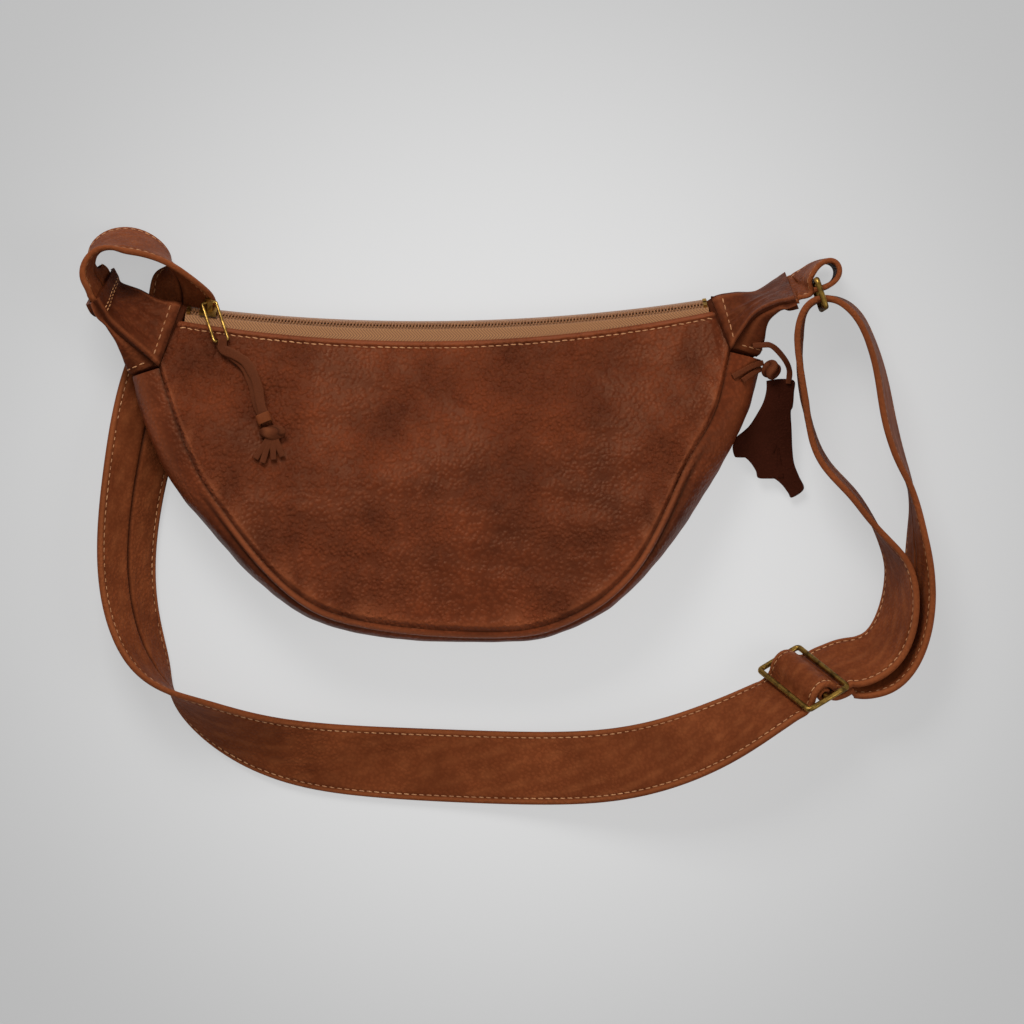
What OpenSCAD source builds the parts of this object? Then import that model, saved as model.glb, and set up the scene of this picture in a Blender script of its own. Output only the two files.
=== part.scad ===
/* [Bag] */
// Width of the bag from the end of one cap to the end of the other
bag_w = 374; // [350:1:400]
// Height of the bag from the zip down to the gusset's lowest point
bag_h = 170; // [160:1:180]
// Depth of the bag at its belly
bag_d = 54; // [48:1:58]
// Height of the front panel above the table along the zip
lip_d = 21; // [20:0.5:23]
// Thickness of the body leather
leather_t = 2; // [1.6:0.1:2.2]
// Gap left between two sewn pieces of leather
seam_gap = 0.15; // [0.1:0.05:0.25]
// Thickness of the lining cloth
lining_t = 0.8; // [0.5:0.1:1]
// Distance from the leather's edge to the lining's edge
lining_inset = 6; // [6:0.5:9]
// Height that the left end is lifted by the strap under it
end_lift = 6.2; // [6:0.1:6.6]
// Height that the back panel curls up along the zip
back_curl = 6; // [5:0.5:7]

// Height of the caps' front ridge at their mouths
cap_d = 44; // [42:0.5:45]

/* [Zip] */
// Radius of the curve that the zip hangs in
zip_r = 993; // [900:1:1200]
// Height of the zip's centre line above the table
zip_z = 17; // [16.5:0.5:18]
// Tilt of the zip's face from level
zip_tilt = 55; // [50:1:60]
// Thickness of the zip tape
tape_t = 0.6; // [0.5:0.1:0.7]
// Gap between the two tapes and between the two rows of teeth
zip_gap = 1; // [0.9:0.1:1.2]
// Distance from the zip's centre line to the front lip, at mid zip
lip_gap = 8.2; // [7:0.2:9]
// Distance from the zip's centre line to the front lip, at the ends
lip_gap_end = 5; // [4.6:0.2:5.4]
// Distance from one tooth to the next
tooth_pitch = 2.4; // [2.2:0.1:3]
// Length of a tooth across the zip
tooth_l = 2.6; // [2.4:0.1:2.7]
// Width of a tooth along the zip
tooth_w = 1.4; // [1.2:0.1:1.5]
// Height of a tooth above the tape
tooth_h = 1.5; // [1.3:0.1:1.6]

/* [Slider and pull] */
// Length of the slider along the zip
slider_l = 9; // [8:0.5:10]
// Thickness of the slider's plates
slider_t = 1; // [0.8:0.1:1.1]
// Clearance between the slider and the zip
slider_gap = 0.35; // [0.3:0.05:0.4]
// Distance between the two bars of the brass pull
pull_run = 23; // [21:0.5:24]
// Width of the brass pull
pull_w = 9.6; // [9.4:0.1:10.5]
// Diameter of the wire of the brass pull
pull_wire = 1.6; // [1.4:0.1:1.8]
// Width of the leather lace
lace_w = 5; // [4:0.5:5.5]
// Thickness of the leather lace
lace_t = 1.6; // [1.4:0.1:1.8]

/* [Strap] */
// Width of the shoulder strap
strap_w = 39; // [37:0.5:40]
// Thickness of the turned and sewn strap
strap_t = 3.4; // [3:0.1:3.6]
// Thickness of the skived end sewn round the adjuster's bar
strap_end_t = 2.2; // [2:0.1:2.4]
// Thickness of the ring's leather tab
tab_t = 2.8; // [2.4:0.1:3]

/* [Ring and adjuster] */
// Diameter of the wire of the ring
ring_wire = 3; // [2.8:0.1:3.2]
// Distance between the ring's two long bars
ring_span = 15; // [14.6:0.1:15.4]
// Play of the strap between the ring's ends
ring_play = 2; // [1.6:0.1:2.4]
// Diameter of the bars of the adjuster
bar_d = 3; // [2.8:0.1:3.1]
// Distance from the adjuster's centre bar to each side bar
bar_step = 13; // [13:0.1:13.6]
// Clearance between the adjuster and the leather round it
bar_gap = 0.3; // [0.25:0.05:0.35]

/* [Tag] */
// Thickness of the hide-shaped leather tag
tag_t = 1.6; // [1.4:0.1:2]
// Thickness of the tag's thong
thong_t = 1.4; // [1.2:0.1:1.6]
// Diameter of the tag's knot
tag_knot_d = 8.5; // [8:0.5:9]

/* [Hidden] */

// Places on the table are shares of the lay, the square that bag and strap are laid out in
cap_span_share = 0.706;
rise_share = 0.32;
lay_x = bag_w / cap_span_share;
lay_y = bag_h / rise_share;
function lay(p) = [p[0] * lay_x, p[1] * lay_y];

// The sewn edge of the front panel, left to right: x, y, and the gusset's swell as a share of its depth
edge_shares = [[-0.354, 0.144, 0.29], [-0.344, 0.112, 0.31], [-0.329, 0.072, 0.32], [-0.312, 0.034, 0.27],
    [-0.287, 0.000, 0.24], [-0.257, -0.040, 0.20], [-0.227, -0.071, 0.17], [-0.197, -0.093, 0.14],
    [-0.162, -0.106, 0.14], [-0.102, -0.115, 0.13], [-0.032, -0.119, 0.11], [0.023, -0.117, 0.11],
    [0.063, -0.101, 0.13], [0.093, -0.083, 0.14], [0.123, -0.053, 0.16], [0.143, -0.018, 0.22],
    [0.160, 0.017, 0.28], [0.175, 0.052, 0.31], [0.200, 0.090, 0.30], [0.210, 0.122, 0.33],
    [0.219, 0.160, 0.33]];
lip_end_shares = [-0.335, 0.203];
zip_mid_share = -0.091;
zip_low_share = 0.1865;
zip_end_shares = [-0.328, 0.197];
zip_c = [zip_mid_share * lay_x, zip_low_share * lay_y + zip_r];

// Smooth curve through hand-set points, with k steps from each to the next
function knot_curve(a, b, c, d, t) = (2 * b + (c - a) * t + (2 * a - 5 * b + 4 * c - d) * t * t
    + (3 * b - a - 3 * c + d) * t * t * t) / 2;
function smooth(p, k) = [for (i = [0 : len(p) - 2]) for (j = [0 : k - 1])
    knot_curve(p[max(i - 1, 0)], p[i], p[i + 1], p[min(i + 2, len(p) - 1)], j / k), p[len(p) - 1]];
function unit(v) = v / norm(v);
function mix(a, b, t) = a + (b - a) * t;

// Distance below the zip's curve, and the front panel's height there
function below(p) = norm([p[0] - zip_c[0], p[1] - zip_c[1]]) - zip_r;
belly_run_share = 0.94;
function front_z(p) = lip_d + (bag_d - lip_d)
    * sin(90 * min(max(below(p), 0) / (belly_run_share * bag_h), 1));
lift_start_share = -0.235;
lift_end_share = -0.292;
curl_run_share = 0.07;
function ease(t) = t <= 0 ? 0 : t >= 1 ? 1 : t * t * (3 - 2 * t);
function back_z(p) = end_lift * ease((p[0] / lay_x - lift_start_share) / (lift_end_share - lift_start_share))
    + back_curl * pow(1 - min(max(below(p), 0) / (curl_run_share * bag_h), 1), 2)
    * (1 - ease((p[0] / lay_x - lift_start_share) / (lift_end_share - lift_start_share)));

edge_steps = 2;
edge = smooth(edge_shares, edge_steps);
stations = len(edge) - 1;
function lip_at(x) = let (m = zip_c[0], half = (lip_end_shares[1] - lip_end_shares[0]) * lay_x / 2,
    g = lip_gap - (lip_gap - lip_gap_end) * pow((x - m) / half, 2))
    [x, zip_c[1] - sqrt(pow(zip_r + g, 2) - pow(x - m, 2))];
function edge_at(i) = lay(edge[i]);
function edge_out(i) = let (d = edge_at(min(i + 1, stations)) - edge_at(max(i - 1, 0))) unit([d[1], -d[0]]);
function top_at(i) = lip_at(lay_x * mix(lip_end_shares[0], lip_end_shares[1], i / stations));
back_lip = 2;
function back_top_at(i) = let (x = top_at(i)[0])
    [x, zip_c[1] - sqrt(pow(zip_r - back_lip, 2) - pow(x - zip_c[0], 2))];

// Closed skin between two grids of points, a outside and b inside
module skin(a, b) {
    n = len(a); m = len(a[0]);
    function at(i, j) = i * m + j;
    k = n * m;
    quads = concat(
        [for (i = [0 : n - 2]) for (j = [0 : m - 2])
            [at(i, j), at(i + 1, j), at(i + 1, j + 1), at(i, j + 1)]],
        [for (i = [0 : n - 2]) for (j = [0 : m - 2])
            [k + at(i, j), k + at(i, j + 1), k + at(i + 1, j + 1), k + at(i + 1, j)]],
        [for (i = [0 : n - 2]) [at(i + 1, 0), at(i, 0), k + at(i, 0), k + at(i + 1, 0)]],
        [for (i = [0 : n - 2]) [at(i, m - 1), at(i + 1, m - 1), k + at(i + 1, m - 1), k + at(i, m - 1)]],
        [for (j = [0 : m - 2]) [at(0, j), at(0, j + 1), k + at(0, j + 1), k + at(0, j)]],
        [for (j = [0 : m - 2]) [at(n - 1, j + 1), at(n - 1, j), k + at(n - 1, j), k + at(n - 1, j + 1)]]);
    polyhedron(points = concat([for (r = a) each r], [for (r = b) each r]),
        faces = [for (q = quads) each [[q[0], q[1], q[2]], [q[0], q[2], q[3]]]]);
}

// Panels: rows run from the lip down to the sewn edge, closer together near the lip at the back
function panel_grid(rows, dz, front, top_inset, inset) = [for (i = [0 : stations]) [for (j = [0 : rows])
    let (top = front ? top_at(i) : back_top_at(i),
        low = edge_at(i) - edge_out(i) * inset,
        p = mix(top - unit([0, 1]) * top_inset, low, pow(j / rows, front ? 1 : 2)))
    [p[0], p[1], (front ? front_z(p) : back_z(p)) + dz]]];
panel_rows = 8;
lining_lift = 0.85;
lining_rows = 6;

module front_panel() {
    color("#7a4529")
    skin(panel_grid(panel_rows, 0, true, 0, 0), panel_grid(panel_rows, -leather_t, true, 0, 0));
}

module back_panel() {
    color("#6e3d25")
    skin(panel_grid(panel_rows, leather_t, false, 0, 0), panel_grid(panel_rows, 0, false, 0, 0));
}

// The lining lies just inside the leather and stops short of its edges
module lining_front() {
    z = -leather_t - 2 * seam_gap;
    color("#8c6a4a") skin(panel_grid(lining_rows, z, true, lining_inset, lining_inset),
        panel_grid(lining_rows, z - lining_t, true, lining_inset, lining_inset));
}

module lining_back() {
    z = leather_t + lining_lift;
    top_inset = curl_run_share * bag_h;
    color("#8c6a4a") skin(panel_grid(lining_rows, z + lining_t, false, top_inset, lining_inset),
        panel_grid(lining_rows, z, false, top_inset, lining_inset));
}

// The gusset swells out between the two sewn edges
gusset_rows = 8;
function gusset_row(i, inset) = let (p = edge_at(i), out = edge_out(i),
    hi = front_z(p) - leather_t - seam_gap, lo = back_z(p) + leather_t + seam_gap,
    swell = edge[i][2] * bag_d - inset, mid = (hi + lo) / 2, half = (hi - lo) / 2)
    [for (j = [0 : gusset_rows]) let (a = 90 - 180 * j / gusset_rows)
        [p[0] + out[0] * (swell * cos(a)), p[1] + out[1] * (swell * cos(a)),
            mid + (half - inset) * sin(a)]];

module gusset() {
    color("#74402a")
    skin([for (i = [0 : stations]) gusset_row(i, 0)], [for (i = [0 : stations]) gusset_row(i, leather_t)]);
}

// Caps: each end of the bag narrows to a flat mouth that holds the strap or the ring's tab
cap_rows = 6;
cap_steps = 2;
// Places along a cap, from the panel to the mouth: x, y as shares of the lay, height as a share of the cap
left_top_shares = [[-0.332, 0.211, 0.46], [-0.354, 0.215, 0.41], [-0.374, 0.225, 0.26],
    [-0.3935, 0.2325, 0.06], [-0.3972, 0.2398, 0.08], [-0.401, 0.247, 0.10]];
left_ridge_shares = [[-0.3541, 0.1452, 0.725], [-0.369, 0.160, 0.79], [-0.385, 0.175, 0.87],
    [-0.4005, 0.190, 0.91], [-0.407, 0.2005, 0.955], [-0.4135, 0.211, 1]];
left_back_shares = [[-0.3541, 0.1452, 0.15], [-0.367, 0.158, 0.17], [-0.386, 0.176, 0.25],
    [-0.408, 0.192, 0.52]];
right_top_shares = [[0.200, 0.217, 0.46], [0.223, 0.222, 0.41], [0.245, 0.224, 0.28],
    [0.265, 0.236, 0.11], [0.2703, 0.2398, 0.095], [0.2755, 0.2435, 0.08]];
right_ridge_shares = [[0.2196, 0.162, 0.7], [0.229, 0.179, 0.77], [0.243, 0.199, 0.86],
    [0.263, 0.209, 0.95], [0.2725, 0.211, 0.975], [0.282, 0.213, 1]];
right_back_shares = [[0.2196, 0.162, 0.01], [0.236, 0.179, 0.07], [0.253, 0.1945, 0.24],
    [0.270, 0.201, 0.62]];
// The flat mouths face these ways, square to the leather stack that each one holds
function cap_place(p) = [p[0] * lay_x, p[1] * lay_y, p[2] * cap_d];
function cap_line(shares) = smooth([for (p = shares) cap_place(p)], cap_steps);
function mouth_end(shares) = cap_place(shares[len(shares) - 1]);
function mouth_run(shares) = mouth_end(shares) - cap_place(shares[len(shares) - 2]);
function mouth_face(top, ridge) = unit(cross(mouth_end(ridge) - mouth_end(top),
    mouth_run(ridge) + mouth_run(top)));
left_face = -mouth_face(left_top_shares, left_ridge_shares);
right_face = mouth_face(right_top_shares, right_ridge_shares);
mouth_gap = 0.3;
function mouth_stack(t) = 2 * leather_t + t + 2 * mouth_gap;
function cap_back_line(shares, ridge, face, t) = smooth(concat([for (p = shares) cap_place(p)],
    [for (i = [len(shares) : len(ridge) - 1]) cap_place(ridge[i]) - face * mouth_stack(t)]), cap_steps);

// A sewn patch between lines a and b, swelling out between them, with its outward directions at each end
turn_share = 0.6;
function turned(s) = min(s / turn_share, 1);
function facing(d, s) = unit(mix(d[0], d[1], turned(s)));
function patch(a, b, da, db, swell, inset) = [for (i = [0 : len(a) - 1]) let (s = i / (len(a) - 1))
    [for (j = [0 : cap_rows]) let (v = j / cap_rows, d = unit(mix(facing(da, s), facing(db, s), v)))
        mix(a[i], b[i], v) + d * (mix(swell[0], swell[1], s) * sin(180 * v) - inset)]];
function sunk(line, d, depth) = let (n = len(line) - 1)
    [for (i = [0 : n]) line[i] - facing(d, i / n) * mix(depth[0], depth[1], turned(i / n))];
module cap_patch(a, b, da, db, swell, side) {
    outer = patch(a, b, da, db, swell, 0);
    inner = patch(a, b, da, db, swell, leather_t);
    if (side > 0) skin(outer, inner);
    else skin(inner, outer);
}
panel_face = unit([0, 0.5, 0.86]);
side_depth_share = 2.75;
side_swell_share = 0.36;
mouth_swell_share = 0.03;

module cap_front(top, ridge, face, side) {
    cap_patch(cap_line(top), cap_line(ridge), [panel_face, face], [[0, 0, 1], face], [0, 0], side);
}

module cap_side(top, ridge, back, face, side, t, out) {
    w = unit(mouth_end(ridge) - mouth_end(top));
    depth = [side_depth_share * leather_t, leather_t + mouth_gap];
    cap_patch(sunk(cap_line(ridge), [[0, 0, 1], face], depth),
        sunk(cap_back_line(back, ridge, face, t), [[0, 0, -1], -face], depth),
        [out, w], [out, w], [side_swell_share, mouth_swell_share] * cap_d, side);
}

module cap_back(top, ridge, back, face, side, t) {
    line = cap_line(top);
    n = len(line) - 1;
    under = [for (i = [0 : n]) let (s = i / n)
        line[i] - facing([panel_face, face], s) * mix(mouth_stack(0), mouth_stack(t), pow(turned(s), 2))];
    cap_patch(cap_back_line(back, ridge, face, t), under, [[0, 0, -1], -face], [-panel_face, -face],
        [0, 0], side);
}

left_out = concat(edge_out(0), [0]);
right_out = concat(edge_out(stations), [0]);
module cap_left_front() { color("#74402a") cap_front(left_top_shares, left_ridge_shares, left_face, -1); }
module cap_left_side() {
    color("#7a4529")
    cap_side(left_top_shares, left_ridge_shares, left_back_shares, left_face, -1, strap_t, left_out);
}
module cap_left_back() {
    color("#6e3d25") cap_back(left_top_shares, left_ridge_shares, left_back_shares, left_face, -1, strap_t);
}
module cap_right_front() { color("#74402a") cap_front(right_top_shares, right_ridge_shares, right_face, 1); }
module cap_right_side() {
    color("#7a4529")
    cap_side(right_top_shares, right_ridge_shares, right_back_shares, right_face, 1, tab_t, right_out);
}
module cap_right_back() {
    color("#6e3d25") cap_back(right_top_shares, right_ridge_shares, right_back_shares, right_face, 1, tab_t);
}

// Zip: every cross-section is swept round the zip's own centre, so the slider fits it all the way.
// Its profile is drawn with x away from that centre, towards the front, and y up.
zip_a = [for (s = zip_end_shares) asin((s * lay_x - zip_c[0]) / zip_r)];
module zip_sweep(a0, a1) {
    translate([zip_c[0], zip_c[1], 0]) rotate([0, 0, a0 - 90]) rotate_extrude(angle = a1 - a0, $fn = 360)
        translate([zip_r, zip_z]) children();
}
function zip_dir(a) = [cos(a), sin(a)];
tape_hidden = 3;
tape_flat = tooth_l + zip_gap;
front_tilt = 11;
back_tilt = 80;
module tape_profile(start, bend, end) {
    d = unit(bend - start); e = unit(end - bend);
    m = unit(d + e);
    polygon([start, bend, end, end + [e[1], -e[0]] * tape_t,
        bend + [m[1], -m[0]] * tape_t, start + [d[1], -d[0]] * tape_t]);
}

module zip_tape_front() {
    bend = zip_dir(zip_tilt) * tape_flat;
    end = bend + zip_dir(front_tilt) * (lip_gap - tape_flat + tape_hidden);
    color("#a0683f") zip_sweep(zip_a[0], zip_a[1]) tape_profile(zip_dir(zip_tilt) * zip_gap / 2, bend, end);
}

back_tape_run = 5.5;
module zip_tape_back() {
    bend = -zip_dir(zip_tilt) * tape_flat;
    color("#a0683f") zip_sweep(zip_a[0], zip_a[1])
        tape_profile(bend - zip_dir(back_tilt) * back_tape_run, bend, -zip_dir(zip_tilt) * zip_gap / 2);
}

// A block on the zip's face: offset across the zip, length across it, width along it, height above the tape
module zip_block(a, across, l, w, h, z = 0) {
    translate([zip_c[0], zip_c[1], 0]) rotate([0, 0, a - 90]) translate([zip_r, 0, zip_z])
        rotate([0, -zip_tilt, 0]) translate([across, -w / 2, z]) cube([l, w, h]);
}
pitch_a = tooth_pitch / zip_r * 180 / PI;
tooth_seat = 0.05;
teeth = floor((zip_a[1] - zip_a[0]) / pitch_a) - 3;

module zip_teeth_front() {
    color("#8f5c35") for (i = [0 : teeth])
        zip_block(zip_a[0] + (i + 1.5) * pitch_a, zip_gap / 2, tooth_l, tooth_w, tooth_h, tooth_seat);
}

module zip_teeth_back() {
    color("#8f5c35") for (i = [0 : teeth - 1]) let (a = zip_a[0] + (i + 2) * pitch_a)
        zip_block(a, -zip_gap / 2 - tooth_l, tooth_l, tooth_w, tooth_h, tooth_seat);
}

// Strap: each place is x and y as shares of the lay, lift off the table as a share of the strap's width,
// and bank, the angle that the width is turned from level round the way the strap runs
strap_a_shares = [[-0.4215, 0.2385, 0.15, -285], [-0.4235, 0.2475, 0.155, -276], [-0.4215, 0.259, 0.14, -263],
    [-0.409, 0.2705, 0.09, -250], [-0.390, 0.2745, 0.05, -246], [-0.368, 0.270, 0.02, -250],
    [-0.349, 0.256, 0.01, -260], [-0.337, 0.242, 0.01, -278], [-0.331, 0.229, 0, -316],
    [-0.331, 0.211, 0.01, -355], [-0.337, 0.186, 0.01, -360], [-0.352, 0.152, 0.01, -363], [-0.366, 0.110, 0.01, -373],
    [-0.376, 0.060, 0.02, -391], [-0.385, 0.010, 0.03, -397], [-0.390, -0.040, 0.03, -401],
    [-0.388, -0.088, 0.03, -405], [-0.376, -0.130, 0.03, -412], [-0.362, -0.157, 0.04, -424],
    [-0.350, -0.175, 0.04, -446], [-0.331, -0.191, 0.03, -466], [-0.307, -0.207, 0.03, -482],
    [-0.267, -0.230, 0.02, -498], [-0.212, -0.246, 0.02, -516], [-0.150, -0.252, 0.01, -529],
    [-0.062, -0.256, 0.02, -539], [0.030, -0.2595, 0.14, -541], [0.088, -0.257, 0.28, -548],
    [0.130, -0.2495, 0.41, -556], [0.167, -0.2385, 0.51, -563], [0.199, -0.225, 0.57, -570],
    [0.2245, -0.2125, 0.585, -577], [0.246, -0.200, 0.56, -584]];
strap_b_shares = [[0.3385, -0.1515, 0.095, -590], [0.354, -0.149, 0.085, -590], [0.369, -0.143, 0.08, -591],
    [0.384, -0.1255, 0.08, -596],
    [0.393, -0.090, 0.06, -603], [0.3915, -0.058, 0.04, -611], [0.384, -0.043, 0.03, -620],
    [0.371, -0.023, 0.03, -630], [0.360, -0.006, 0.03, -636], [0.348, 0.012, 0.04, -637],
    [0.336, 0.026, 0.05, -637], [0.319, 0.041, 0.06, -637], [0.308, 0.057, 0.07, -637],
    [0.302, 0.074, 0.08, -636], [0.297, 0.094, 0.09, -633], [0.2935, 0.114, 0.09, -631],
    [0.290, 0.134, 0.10, -631], [0.2885, 0.152, 0.11, -633], [0.2875, 0.170, 0.12, -636],
    [0.2885, 0.187, 0.13, -636], [0.292, 0.201, 0.13, -633], [0.299, 0.210, 0.13, -631],
    [0.308, 0.214, 0.13, -630], [0.322, 0.215, 0.13, -627], [0.338, 0.208, 0.12, -622],
    [0.350, 0.195, 0.12, -622], [0.358, 0.178, 0.10, -623], [0.366, 0.156, 0.09, -622],
    [0.372, 0.132, 0.07, -620], [0.375, 0.112, 0.05, -619], [0.3805, 0.082, 0.04, -618],
    [0.390, 0.052, 0.03, -621], [0.3975, 0.037, 0.02, -624], [0.403, 0.020, 0.02, -628],
    [0.406, 0.002, 0.02, -631], [0.407, -0.018, 0.02, -638], [0.409, -0.040, 0.02, -644],
    [0.410, -0.063, 0.02, -649], [0.408, -0.092, 0.02, -656], [0.400, -0.124, 0.02, -663],
    [0.386, -0.149, 0.02, -669], [0.3725, -0.1605, 0.02, -672], [0.357, -0.1625, 0.02, -672],
    [0.3425, -0.160, 0.03, -672]];
tab_shares = [[0.291, 0.2268, 0.105, -252], [0.2945, 0.2385, 0.125, -262], [0.3065, 0.251, 0.13, -267],
    [0.3205, 0.254, 0.13, -269], [0.3285, 0.246, 0.13, -270], [0.328, 0.234, 0.13, -270],
    [0.319, 0.2255, 0.13, -270], [0.309, 0.2235, 0.13, -271], [0.301, 0.2225, 0.13, -273]];

// The adjuster's place and attitude: turned on the table, pitched down along the strap, banked across it
adjuster_shares = [0.292, -0.166];
adjuster_rise = 31.5;
adjuster_yaw = 30;
adjuster_pitch = -20;
adjuster_bank = -588;
adjuster_at = [adjuster_shares[0] * lay_x, adjuster_shares[1] * lay_y, adjuster_rise];
function level(yaw) = [-sin(yaw), cos(yaw), 0];
function ahead(yaw, pitch) = [cos(pitch) * cos(yaw), cos(pitch) * sin(yaw), sin(pitch)];
adjuster_x = ahead(adjuster_yaw, adjuster_pitch);
adjuster_w = level(adjuster_yaw) * cos(adjuster_bank)
    + cross(adjuster_x, level(adjuster_yaw)) * sin(adjuster_bank);
adjuster_v = -cross(adjuster_x, adjuster_w);
function by_adjuster(p, t) = concat(adjuster_at + adjuster_x * p[0] + adjuster_v * p[1], adjuster_w, [t]);

// A place becomes its middle, the direction of its width and its thickness
function rest_z(bank, t) = strap_w / 2 * abs(sin(bank)) + t / 2 * abs(cos(bank));
function strap_places(shares, t) = [for (i = [0 : len(shares) - 1])
    let (p = shares[i], q = lay(shares[min(i + 1, len(shares) - 1)]) - lay(shares[max(i - 1, 0)]),
        side = unit([-q[1], q[0], 0]), w = side * cos(p[3]) + [0, 0, sin(p[3])])
    concat([p[0] * lay_x, p[1] * lay_y, rest_z(p[3], t) + p[2] * strap_w], w, [t])];

// The places where the strap and the tab sit in the mouths: d along the way out
function mouth_place(top, ridge, face, side, t, d) = let (a = mouth_end(top), b = mouth_end(ridge),
    w = unit(b - a), mid = (a + b) / 2 - face * (leather_t + mouth_gap + t / 2))
    concat(mid + cross(face, w) * side * d, w, [t]);
mouth_in = 2.2;
mouth_out = 3;
mouth_hold = [-mouth_in, 0, mouth_out];
tab_out = 2;
tab_hold = [-mouth_in, 0, tab_out];

// The strap goes under the side bars and over its own sewn end, which winds round the centre bar
strap_play = 1.05;
under_bar = bar_d / 2 + strap_play + strap_t / 2;
loop_r = bar_d / 2 + bar_gap + strap_end_t / 2;
over_bar = loop_r + strap_end_t / 2 + bar_gap + strap_t / 2;
under_strap = under_bar + strap_t + 2 * bar_gap;
// Shares of the bar step along the strap, with shares of each height across it
through_shares = [[-1.5, -1.1, 0], [-1, -1.1, 0], [-0.66, -0.5, 0], [-0.38, 0, 0.62],
    [0, 0, 1], [0.38, 0, 0.62], [0.66, -0.45, 0], [1, -1.03, 0], [1.55, -1.15, 0]];
sewn_end_shares = [[1.6, -1.1, 1], [1.05, -1.08, 1], [0.55, -0.9, 0.5], [0.2, -0.4745, 0]];
sewn_turn = [260 : -30 : 20];
through = [for (p = through_shares)
    by_adjuster([p[0] * bar_step, p[1] * under_bar + p[2] * over_bar], strap_t)];
sewn_end = concat([for (p = sewn_end_shares)
        by_adjuster([p[0] * bar_step, p[1] * under_strap], mix(strap_end_t, strap_t, p[2]))],
    [for (a = sewn_turn) by_adjuster([loop_r * cos(a), loop_r * sin(a)], strap_end_t)]);
strap_route = concat([for (d = mouth_hold)
        mouth_place(left_top_shares, left_ridge_shares, left_face, -1, strap_t, d)],
    strap_places(strap_a_shares, strap_t), through, strap_places(strap_b_shares, strap_t), sewn_end);
tab_route = concat([for (d = tab_hold)
        mouth_place(right_top_shares, right_ridge_shares, right_face, 1, tab_t, d)],
    strap_places(tab_shares, tab_t));
strap_steps = 2;

// A flat band of leather with rounded edges along a list of places. The band's section is drawn in
// shares: of its half width, of its half thickness, and of the corner taken off its width.
band_shares = [[1, -0.4, 0], [1, 0.4, 0], [1, 1, 1], [-1, 1, 1], [-1, 0.4, 0], [-1, -0.4, 0],
    [-1, -1, 1], [1, -1, 1]];
module ribbon(places, width, steps) {
    q = smooth(places, steps);
    last = len(q) - 1;
    function mid(i) = [q[i][0], q[i][1], q[i][2]];
    function ring(i) = let (d = unit(mid(min(i + 1, last)) - mid(max(i - 1, 0))),
        w0 = [q[i][3], q[i][4], q[i][5]], w = unit(w0 - d * (w0 * d)), n = cross(d, w),
        a = width / 2, b = q[i][6] / 2)
        [for (s = band_shares) mid(i) + w * (s[0] * (a - s[2] * b)) + n * (s[1] * b)];
    sides = 8;
    polyhedron(points = [for (i = [0 : last]) each ring(i)],
        faces = concat(
            [for (i = [0 : last - 1]) for (j = [0 : sides - 1]) let (k = (j + 1) % sides)
                each [[i * sides + j, (i + 1) * sides + j, (i + 1) * sides + k],
                    [i * sides + j, (i + 1) * sides + k, i * sides + k]]],
            [for (j = [1 : sides - 2]) [0, j, j + 1]],
            [for (j = [1 : sides - 2]) [last * sides, last * sides + j + 1, last * sides + j]]));
}

module strap() { color("#7a4529") ribbon(strap_route, strap_w, strap_steps); }
module ring_tab() { color("#74402a") ribbon(tab_route, strap_w, strap_steps); }

// A closed frame of round wire, measured between the middles of its bars, flat on x and y
module wire_loop(l, w, r, d) {
    for (sx = [-1, 1]) for (sy = [-1, 1])
        translate([sx * (l / 2 - r), sy * (w / 2 - r), 0])
            rotate([0, 0, sx > 0 ? (sy > 0 ? 0 : -90) : (sy > 0 ? 90 : 180)])
                rotate_extrude(angle = 90, $fn = 32) translate([r, 0]) circle(d = d, $fn = 20);
    for (sy = [-1, 1]) translate([-l / 2 + r, sy * w / 2, 0])
        rotate([0, 90, 0]) cylinder(h = l - 2 * r, d = d, $fn = 20);
    for (sx = [-1, 1]) translate([sx * l / 2, -w / 2 + r, 0])
        rotate([-90, 0, 0]) cylinder(h = w - 2 * r, d = d, $fn = 20);
}
corner_r = 2;

// Ring: a standing frame; the tab folds round one long bar and the strap passes between the bars
ring_share = [0.304, 0.231];
ring_turn = -71.5;
ring_rise_share = 0.63;
ring_l = strap_w + ring_play + ring_wire;
module ring() {
    color("#8a6b2e") translate([ring_share[0] * lay_x, ring_share[1] * lay_y, ring_rise_share * strap_w])
        rotate([0, 0, ring_turn]) translate([ring_span / 2, 0, 0]) rotate([90, 0, 0])
            wire_loop(ring_span, ring_l, corner_r, ring_wire);
}

// Adjuster: a frame and a centre bar, in the attitude that the strap gives it
module at_adjuster() {
    translate(adjuster_at) rotate([adjuster_bank, -adjuster_pitch, adjuster_yaw]) children();
}
adjuster_play = 2.8;
adjuster_l = strap_w + adjuster_play + bar_d;
module adjuster_frame() {
    color("#8a6b2e") at_adjuster() wire_loop(2 * bar_step, adjuster_l, corner_r, bar_d);
}

module adjuster_bar() {
    color("#7d6029") at_adjuster() difference() {
        translate([0, -adjuster_l / 2, 0]) rotate([-90, 0, 0]) cylinder(h = adjuster_l, d = bar_d, $fn = 32);
        for (s = [-1, 1]) translate([-bar_step / 2, s * adjuster_l / 2, 0])
            rotate([0, 90, 0]) cylinder(h = bar_step, d = bar_d, $fn = 32);
    }
}

// Zip stops: a crimped block at each end of the teeth
stop_l = 2;
stop_share = 0.6;
stop_h = 1.8;
module zip_stops() {
    color("#8a6b2e") for (s = [0, 1]) for (across = [zip_gap / 2, -zip_gap / 2 - tooth_l])
        zip_block(zip_a[s] + (1 - 2 * s) * pitch_a * stop_share, across, tooth_l, stop_l, stop_h, tooth_seat);
}

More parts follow.
